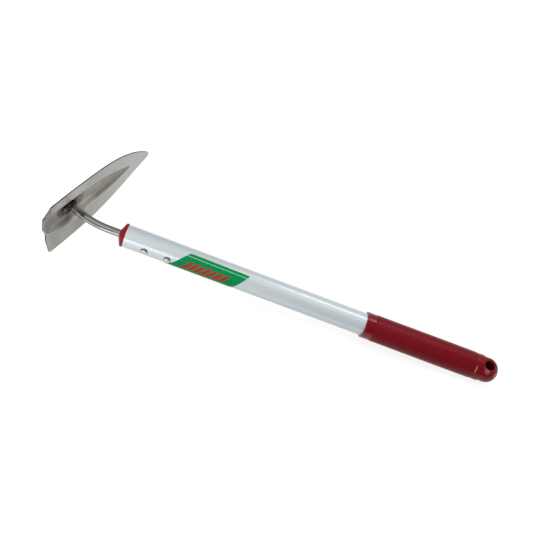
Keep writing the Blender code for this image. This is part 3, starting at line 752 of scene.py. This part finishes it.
def cut_hang_hole(grip):
    """The hole's mouths are rounded, so the cutter widens like a spool at both flats."""
    mouth = HANG_HOLE_MOUTH
    steps = 6
    half = [(0.0, HANG_HOLE_RADIUS), (HANG_FLAT_HEIGHT - mouth, HANG_HOLE_RADIUS)]
    for step in range(1, steps + 1):
        angle = 0.5 * math.pi * step / steps
        height = HANG_FLAT_HEIGHT - mouth * (1.0 - math.sin(angle))
        half.append((height, HANG_HOLE_RADIUS + mouth * (1.0 - math.cos(angle))))
    half.append((2.0 * HANG_FLAT_HEIGHT, half[-1][1] + HANG_HOLE_FLARE))
    profile = [(-along, radius) for along, radius in reversed(half[1:])] + half
    shape = bmesh.new()
    rings = turn_profile(shape, profile, 72)
    shape.faces.new(rings[0])
    shape.faces.new(rings[-1])
    place = Matrix.Translation(MOUTH + Vector((HANG_HOLE_PLACE, 0.0, 0.0)))
    cutter = make_object("hang_hole_cutter", shape, place @ Matrix.Rotation(0.5 * math.pi, 4, "Y"))
    modifier = grip.modifiers.new("hang_hole", "BOOLEAN")
    modifier.object = cutter
    modifier.solver = "EXACT"
    bpy.context.view_layer.update()
    evaluated = grip.evaluated_get(bpy.context.evaluated_depsgraph_get())
    mesh = bpy.data.meshes.new_from_object(evaluated)
    grip.modifiers.clear()
    grip.data = mesh
    mesh.set_sharp_from_angle(angle=math.radians(35.0))
    bpy.data.objects.remove(cutter)


def corner_inset(way, wrap):
    """How far a rounded corner draws the label's end in at a way round the tube."""
    edge = min(way, wrap - way)
    if edge >= LABEL_CORNER:
        return 0.0
    return LABEL_CORNER - math.sqrt(max(LABEL_CORNER ** 2 - (LABEL_CORNER - edge) ** 2, 0.0))


def make_label():
    """Printed film on the tube. Its map runs along the label in shares and round it in metres."""
    wrap = LABEL_WRAP * TUBE_RADIUS
    rows_count, columns_count = 96, 60
    shape = bmesh.new()
    film = shape.verts.layers.float_vector.new("film")
    edges = []
    for radius in (LABEL_RADIUS, LABEL_RADIUS + LABEL_THICKNESS):
        rows = []
        for step in range(rows_count + 1):
            way = wrap * step / rows_count
            inset = corner_inset(way, wrap)
            start = LABEL_TOP_START - way * LABEL_FRONT_SLOPE
            end = LABEL_TOP_START + LABEL_TOP_LENGTH - way * LABEL_REAR_SLOPE
            row = []
            for column in range(columns_count + 1):
                along = mix(start + inset, end - inset, column / columns_count)
                drop = LABEL_TOP_DROP * (along - start) / LABEL_TOP_LENGTH
                angle = LABEL_TOP_ANGLE - drop - way / TUBE_RADIUS
                made = shape.verts.new((along, radius * math.sin(angle), radius * math.cos(angle)))
                made[film] = ((along - start) / LABEL_TOP_LENGTH, way, 0.0)
                row.append(made)
            rows.append(row)
        join_rows(shape, rows)
        last_row = list(reversed(rows[-1][:-1]))
        edges.append(rows[0] + [row[-1] for row in rows[1:]] + last_row + [row[0] for row in rows[-2:0:-1]])
    join_loops(shape, edges[0], edges[1])
    return make_object("label_film", shape, Matrix.Translation(MOUTH))


# Materials

def stainless_blade():
    """Stainless sheet. The ground bands are pale and silky, the pressed panel keeps its mill grey."""
    material, tree, shader = new_material("stainless_sheet_ground_and_pressed")
    sheet = add(tree, "Attribute", attribute_name="sheet").outputs["Vector"]
    ground = add(tree, "Attribute", attribute_name="ground").outputs["Fac"]
    painted_light = add(tree, "Attribute", attribute_name="painted_light").outputs["Fac"]
    under = add(tree, "Attribute", attribute_name="under").outputs["Fac"]
    along = add(tree, "SeparateXYZ", {0: sheet})
    # Grinding lines run across the bands. Real ones are 0.2 mm apart, these 0.9 mm so that they show
    lanes = add(tree, "VectorMath", {0: sheet, 1: (1.0, 0.06, 1.0)}, operation="MULTIPLY")
    lines = add(tree, "TexNoise", {"Vector": lanes, "Scale": per_mm(0.9), "Detail": 2.0})
    cloud = add(tree, "TexNoise", {"Vector": sheet, "Scale": per_mm(13.0), "Detail": 4.0})
    blotch = add(tree, "MapRange", {0: cloud, 1: 0.34, 2: 0.66})
    # The panel is duller from its base to just past the weld, and darker in its narrow end
    near = add(tree, "Mix", {0: blotch, 6: linear("#7A7671"), 7: linear("#8A8682")}, data_type="RGBA")
    far = add(tree, "Mix", {0: blotch, 6: linear("#7F7C75"), 7: linear("#938F87")}, data_type="RGBA")
    past_weld = add(tree, "MapRange", {0: along, 1: PANEL_DULL_START, 2: PANEL_DULL_END})
    middle = add(tree, "Mix", {0: past_weld, 6: near, 7: far}, data_type="RGBA")
    narrow = add(tree, "MapRange", {0: along, 1: NARROW_START, 2: NARROW_END, 4: 0.9})
    panel = add(tree, "Mix", {0: narrow, 6: middle, 7: linear("#706E68")}, data_type="RGBA")
    # The bands grow paler towards the tip and at the base corners. Their darker part, from the base to past
    # the weld, is painted shade for the hoe's shadow on the floor they mirror
    towards_tip = add(tree, "MapRange", {0: along, 1: BAND_SHADE_FADE_START, 2: BAND_SHADE_FADE_END})
    band = add(tree, "Mix", {0: towards_tip, 6: linear("#999A94"), 7: linear("#B4B6B1")}, data_type="RGBA")
    at_base = add(tree, "MapRange", {0: along, 1: BASE_CORNER_START, 2: BASE_CORNER_END})
    ends = add(tree, "Mix", {0: at_base, 6: band, 7: linear("#A4A59F")}, data_type="RGBA")
    grain = add(tree, "MapRange", {0: lines, 1: 0.35, 2: 0.65, 3: 0.95, 4: 1.03})
    lined = add(tree, "Mix", {0: 1.0, 6: ends, 7: grain}, data_type="RGBA", blend_type="MULTIPLY")
    colour = add(tree, "Mix", {0: ground, 6: panel, 7: lined}, data_type="RGBA")
    # Marks with a ragged outline, two of them painted shade. On the blade's back they show only as a faint
    # tint
    ragged = add(tree, "TexNoise", {"Vector": sheet, "Scale": per_mm(5.0), "Detail": 4.0})
    wander = add(tree, "MapRange", {0: ragged, 1: 0.3, 2: 0.7, 3: -0.22, 4: 0.22})
    off_band = add(tree, "Math", {0: 1.0, 1: ground}, operation="SUBTRACT")
    facing = add(tree, "MapRange", {0: under, 3: 1.0, 4: 0.2})
    marks = [(mark, off_band) for mark in PANEL_MARKS] + [(mark, ground) for mark in BAND_MARKS]
    for (centre, half_size, code, strength), where in marks:
        scale = (1.0 / half_size[0], 1.0 / half_size[1], 0.0)
        reach = reach_from(tree, sheet, (*centre, 0.0), scale)
        frayed = add(tree, "Math", {0: reach, 1: wander}, operation="ADD")
        inside = add(tree, "MapRange", {0: frayed, 1: 1.25, 2: 0.45, 4: strength},
                     interpolation_type="SMOOTHSTEP")
        here = add(tree, "Math", {0: inside, 1: where}, operation="MULTIPLY")
        share = add(tree, "Math", {0: here, 1: facing}, operation="MULTIPLY")
        colour = add(tree, "Mix", {0: share, 6: colour, 7: linear(code)}, data_type="RGBA")
    # The ridge between panel and band gets a painted highlight, strongest near the base
    near_base = add(tree, "MapRange", {0: along, 1: RIDGE_HIGHLIGHT_START, 2: RIDGE_HIGHLIGHT_END, 4: 0.9})
    highlight_share = add(tree, "MapRange", {0: painted_light})
    with_painted_light = add(tree, "Math", {0: highlight_share, 1: near_base}, operation="MULTIPLY")
    crested = add(tree, "Mix", {0: with_painted_light, 6: colour, 7: linear("#C6C6C1")}, data_type="RGBA")
    # The fold under the lower ridge and the rim of the upper band are painted dark: painted shade
    dark_line = add(tree, "MapRange", {0: painted_light, 1: 0.0, 2: -1.0, 4: 0.8})
    line_shaded = add(tree, "Mix", {0: dark_line, 6: crested, 7: linear("#5A5047")}, data_type="RGBA")
    # The shears left a bright burr along the base, off the bands
    burr = add(tree, "MapRange", {0: along, 1: BURR_START, 2: BURR_END, 4: 0.7})
    burr_here = add(tree, "Math", {0: burr, 1: off_band}, operation="MULTIPLY")
    burred = add(tree, "Mix", {0: burr_here, 6: line_shaded, 7: linear("#A9AAAC")}, data_type="RGBA")
    # The cut edge is painted dark: painted shade
    on_edge = add(tree, "Math", {0: under, 1: 0.5, 2: 0.49}, operation="COMPARE")
    edged = add(tree, "Mix", {0: on_edge, 6: burred, 7: linear("#3B322D")}, data_type="RGBA")
    roughness = add(tree, "MapRange", {0: ground, 3: 0.40, 4: 0.50})
    bump = add(tree, "Bump", {"Strength": 0.2, "Distance": 0.00003, "Height": lines})
    fill(tree, shader, {"Base Color": edged, "Roughness": roughness, "Normal": bump, "Metallic": 1.0})
    return material


def polished_bar():
    """Bright drawn stainless bar: clear reflections, faint draw lines and a dull end near the weld."""
    material, tree, shader = new_material("bright_drawn_stainless_bar")
    bar = add(tree, "Attribute", attribute_name="bar").outputs["Vector"]
    length, _, height = add(tree, "SeparateXYZ", {0: bar}).outputs
    # Draw lines run along the bar, 0.5 mm apart: real ones are finer than the render shows
    lanes = add(tree, "VectorMath", {0: bar, 1: (0.04, 1.0, 1.0)}, operation="MULTIPLY")
    lines = add(tree, "TexNoise", {"Vector": lanes, "Scale": per_mm(0.5), "Detail": 3.0})
    shade = add(tree, "Mix", {0: lines, 6: linear("#A2A2A1"), 7: linear("#B9B9B9")}, data_type="RGBA")
    # Heat from the weld has dulled the last 20 mm
    heat = add(tree, "MapRange", {0: length, 1: HEAT_START, 2: HEAT_END})
    dulled = add(tree, "Mix", {0: heat, 6: shade, 7: linear("#949189")}, data_type="RGBA")
    # Right by the weld a painted highlight makes the bend into the foot pale, then it is burnt
    painted_highlight = add(tree, "MapRange", {0: length, 1: ELBOW_HIGHLIGHT_START, 2: ELBOW_HIGHLIGHT_END})
    colour = add(tree, "Mix", {0: painted_highlight, 6: dulled, 7: linear("#CFCCC2")}, data_type="RGBA")
    burn = add(tree, "MapRange", {0: length, 1: BURN_START, 2: BURN_END})
    burnt = add(tree, "Mix", {0: burn, 6: colour, 7: linear("#4A423B")}, data_type="RGBA")
    # The lower side, towards the floor, is painted darker: painted shade for the shadowed floor it mirrors
    low = add(tree, "MapRange", {0: height, 1: 0.45 * ROD_RADIUS, 2: 0.20 * ROD_RADIUS, 4: 0.50})
    with_lower_shade = add(tree, "Mix", {0: low, 6: burnt, 7: linear("#4C4A47")}, data_type="RGBA")
    roughness = add(tree, "MapRange", {0: lines, 3: 0.08, 4: 0.14})
    bump = add(tree, "Bump", {"Strength": 0.3, "Distance": 0.00003, "Height": lines})
    fill(tree, shader, {"Base Color": with_lower_shade, "Roughness": roughness, "Normal": bump, "Metallic": 1.0})
    return material


def weld_scale():
    """Weld metal under black and brown scale with grey grains, and pale patches of painted highlight."""
    material, tree, shader = new_material("scaled_weld_metal")
    spots = add(tree, "TexCoord").outputs["Object"]
    grains = add(tree, "TexNoise", {"Vector": spots, "Scale": per_mm(1.3), "Detail": 4.0})
    scale = add(tree, "MapRange", {0: grains, 1: 0.48, 2: 0.72})
    colour = add(tree, "Mix", {0: scale, 6: linear("#1C1616"), 7: linear("#544C4E")}, data_type="RGBA")
    # Painted highlights: pale patches on the bead
    for centre, radius in WELD_HIGHLIGHT_PLACES:
        spot = blade_axes() @ Vector(centre)
        reach = add(tree, "VectorMath", {0: spots, 1: spot}, operation="DISTANCE")
        painted_highlight = add(tree, "MapRange", {0: reach, 1: radius, 2: 0.2 * radius, 4: 0.8})
        colour = add(tree, "Mix", {0: painted_highlight, 6: colour, 7: linear("#827A7D")}, data_type="RGBA")
    roughness = add(tree, "MapRange", {0: scale, 3: 0.62, 4: 0.30})
    bump = add(tree, "Bump", {"Strength": 0.6, "Distance": 0.0002, "Height": grains})
    fill(tree, shader, {"Base Color": colour, "Roughness": roughness, "Normal": bump, "Metallic": 0.8})
    return material


def red_cap_plastic():
    """Moulded red polyethylene: a nearly even colour, a soft gloss and a fine moulded skin."""
    material, tree, shader = new_material("moulded_red_polyethylene")
    spots = add(tree, "TexCoord").outputs["Object"]
    cloud = add(tree, "TexNoise", {"Vector": spots, "Scale": per_mm(5.0), "Detail": 3.0})
    colour = add(tree, "Mix", {0: cloud, 6: linear("#8C0E1B"), 7: linear("#A01826")}, data_type="RGBA")
    skin = add(tree, "TexNoise", {"Vector": spots, "Scale": per_mm(0.5), "Detail": 1.0})
    bump = add(tree, "Bump", {"Strength": 0.15, "Distance": 0.00003, "Height": skin})
    fill(tree, shader, {"Base Color": colour, "Normal": bump, "Roughness": 0.40, "Specular IOR Level": 0.2})
    return material


def silver_tube():
    """Drawn aluminium tube with a satin silver white finish: pale, soft gloss, faint long lines."""
    material, tree, shader = new_material("satin_silver_aluminium_tube")
    spots = add(tree, "TexCoord").outputs["Object"]
    along = add(tree, "VectorMath", {0: spots, 1: (0.015, 1.0, 1.0)}, operation="MULTIPLY")
    lines = add(tree, "TexNoise", {"Vector": along, "Scale": per_mm(0.8), "Detail": 3.0})
    colour = add(tree, "Mix", {0: lines, 6: linear("#D4DCDF"), 7: linear("#DCE4E7")}, data_type="RGBA")
    # Dirt and painted shade darken the tube round the rivet heads
    for place in RIVET_PLACES:
        seat = MOUTH + Vector((place, 0.0, 0.0)) + rivet_direction() * TUBE_RADIUS
        reach = add(tree, "VectorMath", {0: spots, 1: seat}, operation="DISTANCE")
        edge = RIVET_HEAD_RADIUS
        dirt_and_shade = add(tree, "MapRange", {0: reach, 1: edge + RIVET_DIRT_AND_SHADE_WIDTH, 2: edge, 4: 0.8})
        colour = add(tree, "Mix", {0: dirt_and_shade, 6: colour, 7: linear("#6A6B6B")}, data_type="RGBA")
    roughness = add(tree, "MapRange", {0: lines, 3: 0.23, 4: 0.30})
    bump = add(tree, "Bump", {"Strength": 0.2, "Distance": 0.00002, "Height": lines})
    fill(tree, shader, {"Base Color": colour, "Roughness": roughness, "Normal": bump,
                        "Metallic": 0.22, "Specular IOR Level": 0.25})
    return material


def rivet_aluminium():
    """Soft aluminium rivet head: warm grey, a little worn, with fine dents from setting it."""
    material, tree, shader = new_material("set_aluminium_rivet")
    spots = add(tree, "TexCoord").outputs["Object"]
    dents = add(tree, "TexNoise", {"Vector": spots, "Scale": per_mm(0.9), "Detail": 3.0})
    dome = add(tree, "Mix", {0: dents, 6: linear("#B4B3A6"), 7: linear("#D3D3C8")}, data_type="RGBA")
    # Dirt and painted shade darken the foot of the dome
    foot = add(tree, "Attribute", attribute_name="foot").outputs["Fac"]
    patchy = add(tree, "Math", {0: foot, 1: dents}, operation="MULTIPLY")
    dirt_and_shade = add(tree, "MapRange", {0: patchy, 1: 0.15, 2: 0.50, 4: 0.8})
    colour = add(tree, "Mix", {0: dirt_and_shade, 6: dome, 7: linear("#57554F")}, data_type="RGBA")
    bump = add(tree, "Bump", {"Strength": 0.4, "Distance": 0.00006, "Height": dents})
    fill(tree, shader, {"Base Color": colour, "Normal": bump, "Roughness": 0.34, "Metallic": 0.9})
    return material


def printed_film():
    """Glossy green film, printed with a thin white line and slanted red bars."""
    material, tree, shader = new_material("printed_green_film")
    film = add(tree, "Attribute", attribute_name="film").outputs["Vector"]
    share, way, _ = add(tree, "SeparateXYZ", {0: film}).outputs
    # The ink lies in streaks, 25 mm long round the tube
    ink = add(tree, "TexNoise", {"Vector": film, "Scale": per_mm(25.0), "Detail": 2.0})
    green = add(tree, "Mix", {0: ink, 6: linear("#05874A"), 7: linear("#0B9254")}, data_type="RGBA")
    # Each part of the row is a bar and a narrower gap
    row = add(tree, "MapRange", {0: share, 1: BARS_START, 2: BARS_END, 4: BAR_COUNT}, clamp=False)
    in_bar = add(tree, "Math", {0: row, 1: 1.0}, operation="MODULO")
    red = add(tree, "Math", {0: in_bar, 1: BAR_SHARE}, operation="LESS_THAN")
    last_bar_end = BAR_COUNT - 1.0 + BAR_SHARE
    for value, limit, side in ((row, 0.0, "GREATER_THAN"), (row, last_bar_end, "LESS_THAN"),
                               (way, BAR_TOP, "GREATER_THAN"), (way, BAR_BOTTOM, "LESS_THAN")):
        within = add(tree, "Math", {0: value, 1: limit}, operation=side)
        red = add(tree, "Math", {0: red, 1: within}, operation="MULTIPLY")
    barred = add(tree, "Mix", {0: red, 6: green, 7: linear("#BE2C2E")}, data_type="RGBA")
    line = add(tree, "Math", {0: way, 1: LINE_PLACE, 2: LINE_HALF_WIDTH}, operation="COMPARE")
    lined = add(tree, "Mix", {0: line, 6: barred, 7: linear("#CFE6D6")}, data_type="RGBA")
    fill(tree, shader, {"Base Color": lined, "Roughness": 0.34, "Specular IOR Level": 0.08})
    return material


def grip_vinyl():
    """Dip moulded vinyl: the body has a matt grain drawn out along it, collar, ring and nose are glossy."""
    material, tree, shader = new_material("moulded_red_vinyl")
    spots = add(tree, "TexCoord").outputs["Object"]
    place = add(tree, "SeparateXYZ", {0: spots})
    after_collar = add(tree, "Math", {0: place, 1: MOUTH.x + COLLAR_END + 0.5 * GROOVE_WIDTH},
                       operation="GREATER_THAN")
    before_ring = add(tree, "Math", {0: place, 1: MOUTH.x + RING_START - 0.5 * GROOVE_WIDTH},
                      operation="LESS_THAN")
    matt = add(tree, "Math", {0: after_collar, 1: before_ring}, operation="MULTIPLY")
    along = add(tree, "VectorMath", {0: spots, 1: (0.08, 1.0, 1.0)}, operation="MULTIPLY")
    streaks = add(tree, "TexNoise", {"Vector": along, "Scale": per_mm(1.1), "Detail": 4.0})
    body = add(tree, "Mix", {0: streaks, 6: linear("#6E0A13"), 7: linear("#821421")}, data_type="RGBA")
    colour = add(tree, "Mix", {0: matt, 6: linear("#7C050D"), 7: body}, data_type="RGBA")
    # Painted highlights make the front step of the ring and the nose beside the hole pale
    for along_grip, turn, radius, half_size, code, strength in GRIP_HIGHLIGHTS:
        centre = MOUTH + Vector((along_grip, radius * math.sin(turn), radius * math.cos(turn)))
        scale = (1.0 / half_size[0], 1.0 / half_size[1], 1.0 / half_size[1])
        reach = reach_from(tree, spots, centre, scale)
        highlight_share = add(tree, "MapRange", {0: reach, 1: 1.2, 2: 0.4, 4: strength},
                     interpolation_type="SMOOTHSTEP")
        colour = add(tree, "Mix", {0: highlight_share, 6: colour, 7: linear(code)}, data_type="RGBA")
    # Painted shade, with grime, darkens the walls of the hang hole
    axis = MOUTH + Vector((HANG_HOLE_PLACE, 0.0, 0.0))
    reach = reach_from(tree, spots, axis, (1.0, 1.0, 0.0))
    hole_grime_and_shade = add(tree, "MapRange", {0: reach, 1: HANG_HOLE_RADIUS + 0.0007, 2: HANG_HOLE_RADIUS + 0.0001})
    with_painted_light = add(tree, "Mix", {0: hole_grime_and_shade, 6: colour, 7: linear("#62060B")}, data_type="RGBA")
    # Collar, ring and nose came out of a polished part of the mould. Use has dulled the ring and nose
    polished = add(tree, "MapRange", {0: before_ring, 3: 0.25, 4: 0.6})
    covered = add(tree, "Math", {0: matt, 1: hole_grime_and_shade}, operation="MAXIMUM")
    gloss = add(tree, "MapRange", {0: covered, 3: polished, 4: 0.0})
    # Moulded grain of 0.5 mm on the body
    grain = add(tree, "TexNoise", {"Vector": spots, "Scale": per_mm(0.5), "Detail": 2.0})
    height = add(tree, "Math", {0: grain, 1: matt}, operation="MULTIPLY")
    skin = add(tree, "MapRange", {0: matt, 3: 0.42, 4: 0.36})
    roughness = add(tree, "Math", {0: skin, 1: hole_grime_and_shade}, operation="MAXIMUM")
    bump = add(tree, "Bump", {"Strength": 0.35, "Distance": 0.00006, "Height": height})
    fill(tree, shader, {"Base Color": with_painted_light, "Roughness": roughness, "Normal": bump, "Coat Weight": gloss,
                        "Coat Roughness": 0.07, "Specular IOR Level": 0.14})
    return material


# Studio

def seen_directly(tree):
    """One for rays from the camera and for those off gloss or through glass, else nothing."""
    path = add(tree, "LightPath")
    gloss = add(tree, "Math", {0: path.outputs["Is Camera Ray"], 1: path.outputs["Is Glossy Ray"]},
                operation="MAXIMUM")
    return add(tree, "Math", {0: gloss, 1: path.outputs["Is Transmission Ray"]}, operation="MAXIMUM")


def make_floor():
    """A pale sheet that touches the hoe from below. It isn't seen from its underside."""
    up = Vector((-math.tan(FLOOR_RISE_X), -math.tan(FLOOR_RISE_Y), 1.0)).normalized()
    level = min(up.dot(vert.co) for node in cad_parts.values() for vert in node.data.vertices)
    shape = bmesh.new()
    bmesh.ops.create_grid(shape, x_segments=1, y_segments=1, size=FLOOR_HALF_SIZE)
    turn = Vector((0.0, 0.0, 1.0)).rotation_difference(up).to_matrix().to_4x4()
    floor = make_object("floor_sheet", shape)
    floor.matrix_world = Matrix.Translation(up * level) @ turn
    material, tree, shader = new_material("pale_paper_floor")
    fill(tree, shader, {"Base Color": linear("#909090"), "Roughness": 0.9})
    # The glow lifts the paper to white where it is lit, and leaves the hoe's shadow on it
    glow = add(tree, "Emission", {"Color": (1.0, 1.0, 1.0, 1.0), "Strength": 0.84})
    dim = add(tree, "BsdfDiffuse", {"Color": linear("#9A9A9A")})
    lifted = add(tree, "AddShader", {0: glow, 1: dim})
    front = add(tree, "MixShader", {0: seen_directly(tree), 1: shader, 2: lifted})
    geometry = add(tree, "NewGeometry")
    clear = add(tree, "BsdfTransparent")
    sheet = add(tree, "MixShader", {0: geometry.outputs["Backfacing"], 1: front, 2: clear})
    fill(tree, tree.nodes["Material Output"], {"Surface": sheet})
    floor.data.materials.append(material)


def make_tunnel():
    """A tunnel of paper over the hoe, in the tones of TUNNEL_TONES. It shows only in the hoe's gloss."""
    shape = bmesh.new()
    tone = shape.verts.layers.float_color.new("tone")
    rows = []
    for degrees, *codes in TUNNEL_TONES:
        angle = math.radians(degrees)
        row = []
        for place, zone in TUNNEL_COLUMNS:
            made = shape.verts.new((place, TUNNEL_RADIUS * math.sin(angle), TUNNEL_RADIUS * math.cos(angle)))
            made[tone] = linear(codes[zone])
            row.append(made)
        rows.append(row)
    join_rows(shape, rows)
    tunnel = make_object("paper_tunnel", shape)
    material, tree, _ = new_material("grey_paper_tunnel")
    tones = add(tree, "Attribute", attribute_name="tone")
    glow = add(tree, "Emission", {"Color": tones.outputs["Color"]})
    fill(tree, tree.nodes["Material Output"], {"Surface": glow})
    tunnel.data.materials.append(material)
    tunnel.visible_camera = False
    tunnel.visible_diffuse = False
    tunnel.visible_shadow = False
    tunnel.visible_transmission = False


def make_lamp(name, place, target, size, watts, in_gloss):
    """A soft lamp that faces its target."""
    lamp = bpy.data.lights.new(name, "AREA")
    lamp.shape = "RECTANGLE"
    lamp.size, lamp.size_y = size
    lamp.energy = watts
    holder = bpy.data.objects.new(name, lamp)
    bpy.context.scene.collection.objects.link(holder)
    turn = (Vector(place) - Vector(target)).to_track_quat("Z", "Y").to_matrix().to_4x4()
    holder.matrix_world = Matrix.Translation(place) @ turn
    holder.visible_camera = False
    holder.visible_glossy = in_gloss


def make_world():
    """White behind the hoe, and an even cool light on it."""
    world = bpy.data.worlds.new("studio")
    world.use_nodes = True
    tree = world.node_tree
    tree.nodes.clear()
    white = add(tree, "Background", {"Color": (1.0, 1.0, 1.0, 1.0), "Strength": 1.0})
    light = add(tree, "Background", {"Color": linear("#F7FBFD"), "Strength": 0.36})
    mixed = add(tree, "MixShader", {0: seen_directly(tree), 1: light, 2: white})
    add(tree, "OutputWorld", {0: mixed})
    bpy.context.scene.world = world


def make_camera():
    data = bpy.data.cameras.new("photo_camera")
    data.lens = CAMERA_LENS
    data.sensor_width = 36.0
    data.clip_start = 0.01
    camera = bpy.data.objects.new("photo_camera", data)
    bpy.context.scene.collection.objects.link(camera)
    camera.location = CAMERA_PLACE
    camera.rotation_euler = CAMERA_TURN
    bpy.context.scene.camera = camera


make_camera()
make_world()
make_floor()
make_tunnel()
for lamp in LAMPS:
    make_lamp(*lamp)

finish_piece(make_blade(), stainless_blade(), "blade")
finish_piece(make_neck_bar(), polished_bar(), "neck_rod")
finish_piece(make_weld(), weld_scale(), "weld_bead")
finish_piece(make_grip(), grip_vinyl(), "grip")
finish_piece(make_label(), printed_film(), "label")
rivet_metal = rivet_aluminium()
for name, place in zip(("rivet_front", "rivet_rear"), RIVET_PLACES):
    finish_piece(make_rivet(name + "_heads", place), rivet_metal, name)
for name, material in (("front_cap", red_cap_plastic()), ("handle_tube", silver_tube())):
    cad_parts[name].material_slots[0].material = material

bpy.context.scene.view_settings.view_transform = "Standard"
bpy.context.view_layer.update()
